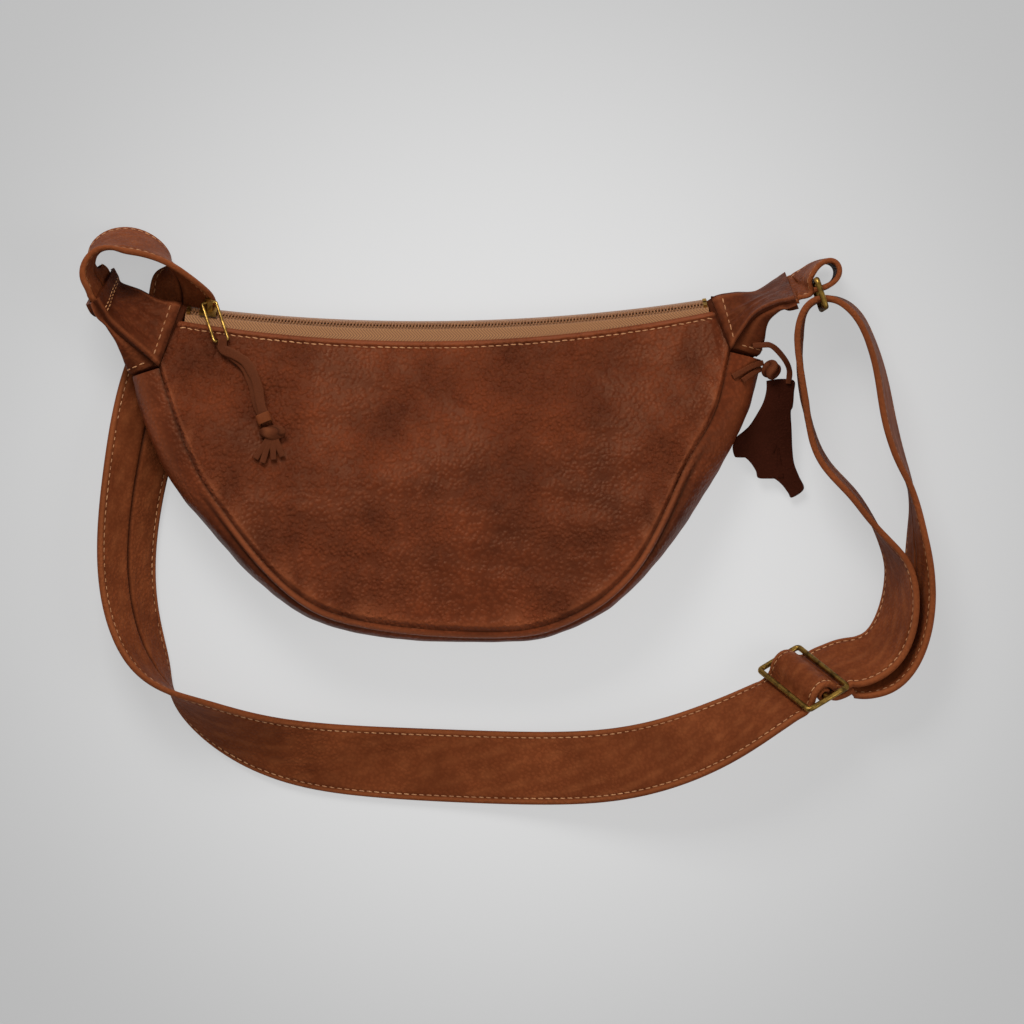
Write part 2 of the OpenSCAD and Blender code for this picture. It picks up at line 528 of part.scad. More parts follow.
// Slider: two plates and side flanges round the teeth, joined by a web in the gap between the tapes
slider_share = -0.306;
slider_a = asin((slider_share * lay_x - zip_c[0]) / zip_r);
web_gap = 0.3;
web_t = zip_gap - 2 * web_gap;
web_l = 3;
plate_w = zip_gap + 2 * tooth_l + 2 * slider_gap + 2 * slider_t;
low_plate_w = 2 * tape_flat - 2 * slider_gap;
plate_z = tooth_seat + tooth_h + slider_gap;
low_z = -tape_t - slider_gap - slider_t;
bail_l = 3;
bail_bore = pull_wire + 2 * slider_gap;
bail_wall = 0.8;
bail_h = 4.3;
bail_rise = plate_z + slider_t + bail_h;
pull_yaw = 28;
module at_slider(yaw = 0) {
    translate([zip_c[0], zip_c[1], 0]) rotate([0, 0, slider_a - 90]) translate([zip_r, 0, zip_z])
        rotate([0, -zip_tilt, 0]) rotate([0, 0, yaw]) children();
}

module zip_slider() {
    color("#8a6b2e") difference() {
        union() {
            zip_block(slider_a, -plate_w / 2, plate_w, slider_l, slider_t, plate_z);
            for (s = [-plate_w / 2, plate_w / 2 - slider_t])
                zip_block(slider_a, s, slider_t, slider_l, slider_gap + slider_t, plate_z - slider_gap);
            zip_block(slider_a, -web_t / 2, web_t, web_l, plate_z + slider_t - low_z, low_z);
            zip_block(slider_a, -low_plate_w / 2, low_plate_w, slider_l, slider_t, low_z);
            at_slider(pull_yaw) translate([-bail_bore / 2 - bail_wall, -bail_l / 2, plate_z])
                cube([bail_bore + 2 * bail_wall, bail_l, bail_rise + bail_bore / 2 + bail_wall - plate_z]);
        }
        at_slider(pull_yaw) translate([0, -bail_l, bail_rise]) rotate([-90, 0, 0])
            cylinder(h = 2 * bail_l, d = bail_bore, $fn = 32);
    }
}

// Pull: a brass wire frame, from its bar in the slider's bail down to the bar that holds the lace
pull_drop = 30;
pull_corner_r = 1.2;
pull_low = [pull_run * cos(pull_drop), bail_rise - pull_run * sin(pull_drop)];
module zip_pull() {
    color("#8a6b2e") at_slider(pull_yaw) translate([0, 0, bail_rise]) rotate([0, pull_drop, 0])
        translate([pull_run / 2, 0, 0]) wire_loop(pull_run, pull_w - pull_wire, pull_corner_r, pull_wire);
}

// The same frame as numbers, to bring the lace to the pull's bar
function turn_z(v, a) = [v[0] * cos(a) - v[1] * sin(a), v[0] * sin(a) + v[1] * cos(a), v[2]];
function tip_y(v, a) = [v[0] * cos(a) + v[2] * sin(a), v[1], -v[0] * sin(a) + v[2] * cos(a)];
function slider_dir(v) = turn_z(tip_y(turn_z(v, pull_yaw), -zip_tilt), slider_a - 90);
slider_at = [zip_c[0], zip_c[1], zip_z] + turn_z([zip_r, 0, 0], slider_a - 90);
pull_bar_at = slider_at + slider_dir([pull_low[0], 0, pull_low[1]]);
pull_bar_dir = slider_dir([0, 1, 0]);

// Lace: it folds round the pull's bar, and its two strands lie on each other down to the keeper.
// Places are shares of the lay, with a lift above the panel in lace thicknesses.
lace_shares = [[-0.2895, 0.163, 1.2], [-0.280, 0.156, 1.6], [-0.269, 0.147, 2], [-0.262, 0.134, 2.1],
    [-0.258, 0.122, 1.9], [-0.255, 0.109, 1.7], [-0.250, 0.097, 1.7], [-0.245, 0.088, 1.7]];
lace_lie = 0.5;
strand_gap = 0.3;
strand_step = lace_t + strand_gap;
fold_r = (pull_wire + lace_t) / 2 + bar_gap;
function lace_side(i) = let (n = len(lace_shares) - 1,
    d = lay(lace_shares[min(i + 1, n)]) - lay(lace_shares[max(i - 1, 0)])) unit([-d[1], d[0], 0]);
function lace_at(i, strand) = let (p = lay(lace_shares[i]))
    concat([p[0], p[1], front_z(p) + lace_lie + lace_t * lace_shares[i][2] + strand * strand_step],
        lace_side(i), [lace_t]);
fold_ahead = unit(cross(pull_bar_dir, [0, 0, 1]));
fold_up = cross(fold_ahead, pull_bar_dir);
lace_n = len(lace_shares) - 1;
lace_route = concat([for (i = [lace_n : -1 : 0]) lace_at(i, 0)],
    [for (a = [-90 : -36 : -270]) concat(pull_bar_at + (fold_ahead * cos(a) + fold_up * sin(a)) * fold_r,
        pull_bar_dir, [lace_t])],
    [for (i = [0 : lace_n]) lace_at(i, 1)]);

module pull_lace() { color("#5d3320") ribbon(lace_route, lace_w, 2); }

// Keeper: a leather band round both strands; knot: a round of lace with four short tails
keeper_shares = [-0.2475, 0.0925, 1.7];
keeper_l = 5.3;
keeper_wall = 1.2;
keeper_yaw = -67;
keeper_pitch = 16;
module pull_keeper() {
    w = lace_w + 2 * bar_gap;
    h = lace_t + strand_step + 2 * bar_gap;
    p = lay(keeper_shares);
    z = front_z(p) + lace_lie + keeper_shares[2] * lace_t + strand_step / 2;
    color("#a05a2c") translate([p[0], p[1], z])
        rotate([0, -keeper_pitch, keeper_yaw]) difference() {
            cube([keeper_l, w + 2 * keeper_wall, h + 2 * keeper_wall], center = true);
            cube([2 * keeper_l, w, h], center = true);
        }
}

knot_shares = [[-0.246, 0.0785], [-0.239, 0.080], [-0.232, 0.0785]];
knot_r = 3.4;
tail_w = 3;
tail_lift = 2.7;
tail_shares = [[-0.256, 0.053], [-0.249, 0.049], [-0.238, 0.052], [-0.229, 0.055]];
module pull_knot() {
    color("#5d3320") {
        hull() for (s = knot_shares) let (p = lay(s)) translate([p[0], p[1], front_z(p) + knot_r + lace_lie])
            sphere(r = knot_r, $fn = 24);
        for (s = tail_shares)
            let (p = lay(knot_shares[1]), q = lay(s), m = (p + q) / 2, side = unit([p[1] - q[1], q[0] - p[0]]))
            ribbon([for (g = [[p, knot_r], [m, tail_lift], [q, lace_lie + lace_t]])
                concat([g[0][0], g[0][1], front_z(g[0]) + g[1]], side, [0, lace_t])], tail_w, 2);
    }
}

// Tag: a hide-shaped piece on a knotted thong
tag_shares = [[0.256, 0.132], [0.256, 0.122], [0.253, 0.110], [0.248, 0.100], [0.240, 0.087], [0.233, 0.080],
    [0.226, 0.074], [0.2225, 0.064], [0.225, 0.054], [0.2295, 0.055], [0.234, 0.054], [0.240, 0.049],
    [0.246, 0.040], [0.248, 0.033], [0.253, 0.032], [0.258, 0.034], [0.266, 0.031], [0.273, 0.025],
    [0.279, 0.017], [0.283, 0.012], [0.295, 0.021], [0.290, 0.034], [0.285, 0.047], [0.283, 0.062],
    [0.282, 0.082], [0.281, 0.100], [0.283, 0.106], [0.284, 0.120], [0.284, 0.132], [0.270, 0.134]];
tag_rise = 17;
tag_slope = 12;
tag_top_share = 0.134;
module at_tag() {
    translate([0, tag_top_share * lay_y, tag_rise]) rotate([tag_slope, 0, 0])
        translate([0, -tag_top_share * lay_y, 0]) children();
}
module tag() {
    color("#3d1d12") at_tag() linear_extrude(tag_t) polygon([for (s = tag_shares) lay(s)]);
}

thong_w = 3;
// Places are shares of the lay, with a height as a share of the cap
thong_shares = [[0.2585, 0.167, 0.614], [0.266, 0.162, 0.591], [0.275, 0.151, 0.545], [0.279, 0.141, 0.466],
    [0.278, 0.129, 0.432]];
thong_tail_shares = [[[0.252, 0.1495, 0.5], [0.240, 0.1455, 0.625], [0.221, 0.135, 0.727]],
    [[0.2505, 0.1435, 0.489], [0.242, 0.139, 0.602], [0.231, 0.131, 0.705]]];
module thong_ribbon(places) {
    n = len(places) - 1;
    ribbon([for (i = [0 : n]) let (p = places[i], d = lay(places[min(i + 1, n)]) - lay(places[max(i - 1, 0)]))
        concat([p[0] * lay_x, p[1] * lay_y, p[2] * cap_d], unit([-d[1], d[0], 0]), [thong_t])], thong_w, 2);
}
module tag_thong() {
    color("#4a2416") {
        thong_ribbon(thong_shares);
        for (t = thong_tail_shares) thong_ribbon(t);
    }
}
tag_knot_shares = [0.2605, 0.1425];
tag_knot_rise = 22;
module tag_knot() {
    color("#4a2416") translate([tag_knot_shares[0] * lay_x, tag_knot_shares[1] * lay_y, tag_knot_rise])
        sphere(d = tag_knot_d, $fn = 32);
}

front_panel();
back_panel();
gusset();
lining_front();
lining_back();
cap_left_front();
cap_left_side();
cap_left_back();
cap_right_front();
cap_right_side();
cap_right_back();
zip_tape_front();
zip_tape_back();
zip_teeth_front();
zip_teeth_back();
zip_stops();
zip_slider();
zip_pull();
pull_lace();
pull_keeper();
pull_knot();
strap();
ring_tab();
ring();
adjuster_frame();
adjuster_bar();
tag();
tag_thong();
tag_knot();
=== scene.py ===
"""Half moon bag in cognac leather, laid flat on its back and seen from straight above.

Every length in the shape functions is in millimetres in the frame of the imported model: x to the ring
end, y from the belly to the zip, z up from the table. The mesh maker turns them into metres.
"""
import math

import bpy
import numpy as np
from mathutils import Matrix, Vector


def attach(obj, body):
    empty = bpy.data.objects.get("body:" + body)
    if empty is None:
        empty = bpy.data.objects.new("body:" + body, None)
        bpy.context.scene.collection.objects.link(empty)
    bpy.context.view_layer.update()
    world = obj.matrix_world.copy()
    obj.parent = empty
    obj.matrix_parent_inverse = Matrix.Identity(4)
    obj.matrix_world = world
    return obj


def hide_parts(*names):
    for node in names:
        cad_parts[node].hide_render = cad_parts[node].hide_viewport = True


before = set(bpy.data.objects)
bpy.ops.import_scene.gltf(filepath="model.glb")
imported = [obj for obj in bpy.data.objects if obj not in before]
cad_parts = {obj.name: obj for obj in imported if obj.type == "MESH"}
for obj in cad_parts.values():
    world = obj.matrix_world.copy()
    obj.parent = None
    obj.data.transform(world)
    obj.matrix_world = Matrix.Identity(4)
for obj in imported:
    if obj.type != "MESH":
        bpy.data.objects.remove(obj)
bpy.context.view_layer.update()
MM = 0.001

# ---------------------------------------------------------------- camera
# The photograph looks straight down; the view is 545.5 mm wide at the height of the bag's seams.
camera_height, seam_height = 3.0, 0.02
view_width, film_width = 0.5455, 36
camera_data = bpy.data.cameras.new("overhead_camera")
camera_data.sensor_width = film_width
camera_data.lens = film_width * camera_height / view_width
camera_data.clip_end = 20
camera = bpy.data.objects.new("overhead_camera", camera_data)
camera.location = (0, 0, camera_height + seam_height)
bpy.context.scene.collection.objects.link(camera)
bpy.context.scene.camera = camera


# ---------------------------------------------------------------- numbers of the bag
bag_w, bag_h, bag_d = 374, 170, 54
lay_x, lay_y = bag_w / 0.706, bag_h / 0.32
lip_z, belly_rise = 21, 33
lip_gap, lip_gap_end, back_gap = 8.2, 5.0, -2
lip_stitch, strap_stitch, stitch_pitch = 3.6, 3.3, 4.0
leather_t, seam_gap, cap_d, lining_t = 2.0, 0.15, 44.0, 0.8
strap_w, strap_t, strap_end_t, tab_t = 39.0, 3.4, 2.2, 2.8
zip_r, zip_z, zip_tilt, tape_t, zip_gap = 993.0, 17.0, 55.0, 0.6, 1.0
zip_c = np.array([-0.091 * lay_x, 0.1865 * lay_y + zip_r])
up = np.array([0.0, 0.0, 1.0])

edge_shares = [[-0.354, 0.144, 0.29], [-0.344, 0.112, 0.31], [-0.329, 0.072, 0.32], [-0.312, 0.034, 0.27],
    [-0.287, 0.000, 0.24], [-0.257, -0.040, 0.20], [-0.227, -0.071, 0.17], [-0.197, -0.093, 0.14],
    [-0.162, -0.106, 0.14], [-0.102, -0.115, 0.13], [-0.032, -0.119, 0.11], [0.023, -0.117, 0.11],
    [0.063, -0.101, 0.13], [0.093, -0.083, 0.14], [0.123, -0.053, 0.16], [0.143, -0.018, 0.22],
    [0.160, 0.017, 0.28], [0.175, 0.052, 0.31], [0.200, 0.090, 0.30], [0.210, 0.122, 0.33], [0.219, 0.160, 0.33]]


# ---------------------------------------------------------------- small helps for shapes
def along(points, s):
    """The smooth curve through listed points, read at the shares s of its run: each stretch is the
    cubic that leaves and meets its knots in the direction of their neighbours."""
    p = np.asarray(points, float)
    x = np.clip(np.asarray(s, float), 0, 1) * (len(p) - 1)
    i = np.minimum(x.astype(int), len(p) - 2)
    t = (x - i)[..., None]
    a, b, c, d = p[np.maximum(i - 1, 0)], p[i], p[i + 1], p[np.minimum(i + 2, len(p) - 1)]
    return (2 * b + (c - a) * t + (2 * a - 5 * b + 4 * c - d) * t ** 2 + (3 * b - a - 3 * c + d) * t ** 3) / 2


def relaxed(q, reach):
    """A list of close places evened out along its run: each becomes the mean of its neighbours under a bell
    of the given reach in places, with the list carried on point for point past its two ends."""
    k = int(3 * reach)
    bell = hump(np.arange(-k, k + 1), reach * 1.414)
    long = np.vstack([2 * q[0] - q[k:0:-1], q, 2 * q[-1] - q[-2:-k - 2:-1]])
    return np.stack([np.convolve(c, bell / bell.sum(), "valid") for c in long.T], -1)


def raised(p, z):
    """Level places given their heights."""
    return np.concatenate([p, z[..., None]], -1)


def unit(v):
    """Vectors brought to length one."""
    return v / np.maximum(np.linalg.norm(v, axis=-1, keepdims=True), 1e-9)


def mix(a, b, t):
    """From a to b by the share t."""
    return a + (b - a) * t


def ease(t):
    """A soft step from 0 to 1."""
    t = np.clip(t, 0, 1)
    return t * t * (3 - 2 * t)


def hump(x, width):
    """A bell of height 1 about 0."""
    return np.exp(-(x / width) ** 2)


def blunt(x, power):
    """A sine or cosine made fuller or thinner, so that a circle becomes a rounded oblong."""
    return np.sign(x) * np.abs(x) ** power


def circle(n):
    """n angles round a circle."""
    return np.linspace(0, 2 * np.pi, n, endpoint=False)


def heading(points):
    """From each point's neighbour before it to the one after it."""
    i = np.arange(len(points))
    return points[np.minimum(i + 1, len(points) - 1)] - points[np.maximum(i - 1, 0)]


def sideways(way):
    """The level direction to the left of each way."""
    return unit(np.stack([-way[:, 1], way[:, 0], way[:, 0] * 0], -1))


def run_length(path):
    """The length along a path of points up to each of them."""
    return np.concatenate([[0], np.cumsum(np.linalg.norm(np.diff(path, axis=0), axis=1))])


def close_at_ends(n, strength):
    """n shares from 0 to 1, set closer together at both ends."""
    w = np.linspace(0, 1, n)
    return w - strength * np.sin(2 * np.pi * w) / (2 * np.pi)


def ripple(p, size, seed):
    """Soft unevenness between -1 and 1: a sum of slow sine waves in seeded directions over the points p,
    with crests about size apart."""
    rng = np.random.default_rng(seed)
    total = np.zeros(p.shape[:-1])
    for _ in range(7):
        k = unit(rng.normal(size=p.shape[-1])) * 2 * np.pi / (size * rng.uniform(0.6, 1.6))
        total += np.sin(p @ k + rng.uniform(0, 2 * np.pi)) / 7
    return total * 1.9


def ripple_along(run, size, seed):
    """The same unevenness along a line, at the lengths run."""
    return ripple(np.stack([run, run * 0], -1), size, seed)


def grid_normals(grid):
    """Normals of a grid: the cross product of its two directions."""
    return unit(np.cross(np.gradient(grid, axis=0), np.gradient(grid, axis=1)))


# ---------------------------------------------------------------- mesh makers
def make_mesh(name, points, faces, marks=None, uv=None, sharp=55):
    """One object at the origin from points in mm and faces of three or four corners, turned to face out by
    the sign of its volume. marks are shares kept on the points, uv a place per point in mm."""
    mesh = bpy.data.meshes.new(name)
    quads = [f for f in faces if f.shape[1] == 4]
    tris = [f for f in faces if f.shape[1] == 3]
    corners = np.vstack([np.vstack([q[:, [0, 1, 2]], q[:, [0, 2, 3]]]) for q in quads] + tris)
    a, b, c = (points[corners[:, k]] for k in range(3))
    if np.einsum("ij,ij->", a, np.cross(b, c)) < 0:
        quads, tris = [q[:, ::-1] for q in quads], [t[:, ::-1] for t in tris]
    sizes = np.concatenate([np.full(len(f), f.shape[1]) for f in quads + tris])
    loops = np.concatenate([f.ravel() for f in quads + tris])
    mesh.vertices.add(len(points))
    mesh.vertices.foreach_set("co", (points * MM).astype(np.float32).ravel())
    mesh.loops.add(len(loops))
    mesh.loops.foreach_set("vertex_index", loops.astype(np.int32))
    mesh.polygons.add(len(sizes))
    mesh.polygons.foreach_set("loop_start", np.concatenate([[0], np.cumsum(sizes)[:-1]]).astype(np.int32))
    mesh.polygons.foreach_set("loop_total", sizes.astype(np.int32))
    for mark, values in (marks or {}).items():
        mesh.attributes.new(mark, "FLOAT", "POINT").data.foreach_set("value", values.astype(np.float32).ravel())
    if uv is not None:
        mesh.uv_layers.new(name="run").data.foreach_set("uv", (uv[loops] * MM).astype(np.float32).ravel())
    mesh.update(calc_edges=True)
    mesh.validate()
    mesh.polygons.foreach_set("use_smooth", np.ones(len(sizes), bool))
    mesh.set_sharp_from_angle(angle=math.radians(sharp))
    piece = bpy.data.objects.new(name, mesh)
    bpy.context.scene.collection.objects.link(piece)
    return piece


def quad_sheet(n, m, start=0, wrap=False):
    """Corner numbers of a grid of n by m points, wrapped round its second direction or not."""
    i, j = np.meshgrid(np.arange(n - 1), np.arange(m if wrap else m - 1), indexing="ij")
    k = (j + 1) % m
    return start + np.stack([i * m + j, (i + 1) * m + j, (i + 1) * m + k, i * m + k], -1).reshape(-1, 4)


def shell(name, outer, inner, marks=None, uv=None):
    """A closed skin between two grids of the same size, the outer face and the inner one."""
    n, m = outer.shape[:2]
    size = n * m
    i, j, last = np.arange(n - 1) * m, np.arange(m - 1), (n - 1) * m
    border = np.vstack([np.stack([a, b, size + b, size + a], -1) for a, b in (
        (i + m, i), (i + m - 1, i + 2 * m - 1), (j, j + 1), (last + j + 1, last + j))])
    faces = np.vstack([quad_sheet(n, m), quad_sheet(n, m, size)[:, ::-1], border])
    points = np.vstack([outer.reshape(-1, 3), inner.reshape(-1, 3)])
    both = {k: np.concatenate([v.ravel(), v.ravel()]) for k, v in (marks or {}).items()}
    places = None if uv is None else np.vstack([uv.reshape(-1, 2)] * 2)
    return make_mesh(name, points, [faces], both, places)


def tube(name, rings, marks):
    """A closed body from rings of points, its two ends filled to a middle point."""
    n, m = rings.shape[:2]
    points = np.vstack([rings.reshape(-1, 3), rings[0].mean(0)[None], rings[-1].mean(0)[None]])
    j = np.arange(m)
    k = (j + 1) % m
    start = np.stack([j, k, np.full(m, n * m)], -1)
    end = np.stack([(n - 1) * m + k, (n - 1) * m + j, np.full(m, n * m + 1)], -1)
    full = {mark: np.concatenate([v.ravel(), [v[0].mean(), v[-1].mean()]]) for mark, v in marks.items()}
    return make_mesh(name, points, [quad_sheet(n, m, wrap=True), start, end], full)


def spaced(path, pitch, skip):
    """Shares of a path of points at every pitch of its length, with a length skipped at each end."""
    lengths = run_length(path)
    count = max(int((lengths[-1] - 2 * skip) / pitch), 1)
    at = skip + (np.arange(count) + 0.5) * (lengths[-1] - 2 * skip) / count
    return np.interp(at, lengths, np.arange(len(path)))


def sample(path, at):
    """Places of a path read between its points."""
    i = np.minimum(at.astype(int), len(path) - 2)
    return mix(path[i], path[i + 1], (at - i)[:, None])


def row_of_bodies(name, body, cap, sharp):
    """One mesh of many small closed bodies, each a run of rings; cap gives the faces that fill a ring."""
    count, n, m = body.shape[:3]
    one = np.vstack([quad_sheet(n, m, wrap=True), cap, np.array(cap)[:, ::-1] + (n - 1) * m])
    faces = one[None] + (np.arange(count) * n * m)[:, None, None]
    return make_mesh(name, body.reshape(-1, 3), [faces.reshape(-1, 4)], sharp=sharp)


def stitch_row(name, path, normals, pitch=stitch_pitch, thread_d=0.75, bury=0.12):
    """A row of stitches: short plump threads laid end to end along a path, each a lens-shaped body 0.82 of
    the pitch long that dives into the leather at both ends, with its middle a little proud of it."""
    at = spaced(path, pitch, 2.0)
    mid = sample(path, at)
    d = unit(sample(path, np.minimum(at + 0.4, len(path) - 1)) - sample(path, np.maximum(at - 0.4, 0)))
    n = unit(sample(normals, at))
    n = unit(n - d * (n * d).sum(-1, keepdims=True))
    side = np.cross(d, n)
    share = np.array([-1, -0.8, -0.35, 0.35, 0.8, 1])
    girth = np.array([0.35, 0.8, 1, 1, 0.8, 0.35])[:, None] * thread_d / 2
    rise = np.array([-0.75, -0.25, 0, 0, -0.25, -0.75])[:, None] * thread_d / 2 - bury
    a, length, slant = np.arange(6) * np.pi / 3, (share * pitch * 0.41)[:, None], 0.06
    mid, d, side, n = (q[:, None, None] for q in (mid, d, side, n))
    body = (mid + d * length[..., None] + side * (girth * np.cos(a) + length * slant)[..., None]
        + n * (girth * np.sin(a) + rise)[..., None])
    return row_of_bodies(name, body, [[0, 1, 2, 3], [0, 3, 4, 5]], 80)


# ---------------------------------------------------------------- materials
def linear(code):
    """A colour written as sRGB hex, brought to linear light."""
    c = np.array([int(code[i:i + 2], 16) for i in (1, 3, 5)]) / 255
    c = np.where(c <= 0.04045, c / 12.92, ((c + 0.055) / 1.055) ** 2.4)
    return (*c, 1.0)


def add(tree, kind, inputs=(), **settings):
    """One node with its settings and its links. The inputs come by name, or in the order of its sockets; a
    node among them stands for its first output in use."""
    n = tree.nodes.new("ShaderNode" + kind)
    for key, value in settings.items():
        setattr(n, key, value)
    for key, value in inputs.items() if isinstance(inputs, dict) else enumerate(inputs):
        if isinstance(value, bpy.types.Node):
            value = next(socket for socket in value.outputs if socket.enabled)
        if isinstance(value, bpy.types.NodeSocket):
            tree.links.new(value, n.inputs[key])
        else:
            n.inputs[key].default_value = value
    return n


def new_material(name, own_map=None):
    """A material with nothing in it yet, its tree, and each point's place on the object or on its own map."""
    material = bpy.data.materials.new(name)
    material.use_nodes = True
    tree = material.node_tree
    tree.nodes.clear()
    place = add(tree, "UVMap", uv_map=own_map) if own_map else add(tree, "TexCoord").outputs["Object"]
    return material, tree, place


def surfaced(material, colour, relief, inputs):
    """The material with its shader on its output: its colour, its relief as height, strength and depth in
    metres, and the rest by name."""
    tree = material.node_tree
    bump = add(tree, "Bump", dict(zip(("Height", "Strength", "Distance", "Normal"), relief)))
    shader = add(tree, "BsdfPrincipled", {"Base Color": colour, "Normal": bump, **inputs})
    add(tree, "OutputMaterial", {"Surface": shader})
    return material


def leather(name, deep, body, light, grain, relief, gloss, blotch=0.5, sheen=0.12):
    """Cowhide: uneven dye in slow clouds 34 mm across and flecks of 6 mm, grain cells of a real size in mm, pores,
    painted shade in the grain's hollows, and from the marks kept on the mesh painted shade in seams, grooves and
    folds and pale worn edges. The grain stands up in patches 45 mm across and is drawn flat elsewhere."""
    material, tree, place = new_material(name)
    deep, body, light, cell = linear(deep), linear(body), linear(light), grain * MM
    clouds = add(tree, "TexNoise", {"Vector": place, "Scale": 1 / 0.034, "Detail": 4.0, "Roughness": 0.55})
    mottle = add(tree, "TexNoise", {"Vector": place, "Scale": 1 / 0.006, "Detail": 5.0, "Roughness": 0.65})
    bend = add(tree, "VectorMath", {0: mottle.outputs["Color"], 3: cell * 0.9}, operation="SCALE")
    bent = add(tree, "VectorMath", [place, bend], operation="ADD")
    cells = add(tree, "TexVoronoi", {"Vector": bent, "Scale": 1 / cell, "Randomness": 1.0, "Smoothness": 0.35},
        feature="SMOOTH_F1")
    pores = add(tree, "TexNoise", {"Vector": place, "Scale": 1 / (cell * 0.42), "Detail": 3.0, "Roughness": 0.7})
    pebble = add(tree, "MapRange", [cells, 0.12, 0.62, 1.0, 0.0])
    height = add(tree, "Math", [pores, 0.55, pebble], operation="MULTIPLY_ADD")
    dye = add(tree, "MapRange", [clouds, 0.32, 0.68, 0.5 - blotch / 2, 0.5 + blotch / 2])
    tone = add(tree, "Mix", {0: dye, 6: deep, 7: body}, data_type="RGBA")
    flecks = add(tree, "MapRange", [mottle, 0.3, 0.75, 0.0, 0.14])
    mottled = add(tree, "Mix", {0: flecks, 6: tone, 7: light}, data_type="RGBA")
    # Painted shade: the grain's hollows are drawn towards the deep tone.
    grain_hollow_shade = add(tree, "MapRange", [height, 0.25, 0.8, 0.34, 0.0])
    grain_with_hollow_shade = add(tree, "Mix", {0: grain_hollow_shade, 6: mottled, 7: deep}, data_type="RGBA")
    worn = add(tree, "Attribute", attribute_name="wear").outputs["Fac"]
    paled = add(tree, "Mix", {0: worn, 6: grain_with_hollow_shade, 7: light}, data_type="RGBA")
    # Painted shade: the seams, grooves and folds marked on the mesh are drawn towards a near black brown.
    fold = add(tree, "Attribute", attribute_name="crease_shade").outputs["Fac"]
    dark = add(tree, "Mix", {0: fold, 6: paled, 7: linear("#2e140b")}, data_type="RGBA")
    rough = add(tree, "MapRange", [mottle, 0.25, 0.75, gloss - 0.07, gloss + 0.09])
    soft = add(tree, "Bump", {"Height": clouds, "Strength": 0.25, "Distance": 0.004})
    stretch = add(tree, "TexNoise", {"Vector": place, "Scale": 1 / 0.045, "Detail": 2.0, "Distortion": 0.6})
    stand = add(tree, "MapRange", [stretch, 0.42, 0.62, 0.3 * relief, relief])
    return surfaced(material, dark, (height, stand, cell * 0.34, soft), {"Roughness": rough, "IOR": 1.46,
        "Specular IOR Level": sheen, "Specular Tint": linear("#e3ad86")})


def woven_tape(name):
    """Zip tape of spun polyester in a herringbone: ribs 1.6 mm apart that turn every 3.4 mm across the tape,
    drawn a little coarser than real so that they show."""
    material, tree, run = new_material(name, "run")
    parts = add(tree, "SeparateXYZ", [run])
    turn = add(tree, "Math", [parts.outputs["Y"], 0.0034], operation="PINGPONG")
    slope = add(tree, "Math", [parts.outputs["X"], turn], operation="ADD")
    wave = add(tree, "Math", [slope, 2 * math.pi / 0.0016], operation="MULTIPLY")
    rib = add(tree, "Math", [wave], operation="SINE")
    fuzz = add(tree, "TexNoise", {"Vector": run, "Scale": 1 / 0.0007, "Detail": 2.0})
    amount = add(tree, "MapRange", [rib, -1.0, 1.0, 0.15, 0.85])
    shade = add(tree, "Math", [fuzz, 0.3, amount], operation="MULTIPLY_ADD")
    colour = add(tree, "Mix", {0: shade, 6: linear("#57321d"), 7: linear("#ab7545")}, data_type="RGBA")
    return surfaced(material, colour, (shade, 0.5, 0.0003), {"Roughness": 0.78, "Sheen Weight": 0.25})


def twisted_thread(name):
    """Waxed polyester thread, twisted: fine strands, a tone that drifts along it, and a soft shine."""
    material, tree, place = new_material(name)
    strands = add(tree, "TexNoise", {"Vector": place, "Scale": 1 / 0.0006, "Detail": 2.0})
    drift = add(tree, "TexNoise", {"Vector": place, "Scale": 1 / 0.02, "Detail": 2.0})
    shade = add(tree, "Math", [strands, drift], operation="MULTIPLY")
    amount = add(tree, "MapRange", [shade, 0.12, 0.4])
    colour = add(tree, "Mix", {0: amount, 6: linear("#9a5f36"), 7: linear("#d79a66")}, data_type="RGBA")
    return surfaced(material, colour, (strands, 0.4, 0.0002), {"Roughness": 0.5})


def aged_brass(name, bright, dull, roughness):
    """Tumbled brass that has darkened in the hand: bright where rubbed, brown in patches, finely scuffed."""
    material, tree, place = new_material(name)
    patches = add(tree, "TexNoise", {"Vector": place, "Scale": 1 / 0.004, "Detail": 5.0, "Roughness": 0.6})
    scuffs = add(tree, "TexNoise", {"Vector": place, "Scale": 1 / 0.0006, "Detail": 3.0})
    tarnish = add(tree, "MapRange", [patches, 0.38, 0.66])
    colour = add(tree, "Mix", {0: tarnish, 6: linear(bright), 7: linear(dull)}, data_type="RGBA")
    rough = add(tree, "MapRange", [patches, 0.3, 0.7, roughness, roughness + 0.2])
    return surfaced(material, colour, (scuffs, 0.12, 0.0002), {"Roughness": rough, "Metallic": 1.0})


def moulded_teeth(name):
    """Zip teeth of acetal in tan: slightly waxy, with a faint unevenness of colour."""
    material, tree, place = new_material(name)
    patch = add(tree, "TexNoise", {"Vector": place, "Scale": 1 / 0.003, "Detail": 3.0})
    colour = add(tree, "Mix", {0: patch, 6: linear("#7d4b2a"), 7: linear("#b07a4e")}, data_type="RGBA")
    return surfaced(material, colour, (patch, 0.1, 0.0003), {"Roughness": 0.38, "IOR": 1.48})


def cotton_lining(name):
    """Plain woven cotton: threads over and under each other, 0.9 mm apart, which is coarser than real so that
    they show. The node draws a band at every 0.314 of the length its scale stands for."""
    material, tree, place = new_material(name)
    warp, weft = (add(tree, "TexWave", {"Vector": place, "Scale": 1 / 0.003, "Distortion": 0.4},
        bands_direction=axis).outputs["Fac"] for axis in "XY")
    both = add(tree, "Math", [warp, weft], operation="MULTIPLY")
    colour = add(tree, "Mix", {0: both, 6: linear("#6f563c"), 7: linear("#96795a")}, data_type="RGBA")
    return surfaced(material, colour, (both, 0.4, 0.0003), {"Roughness": 0.9})


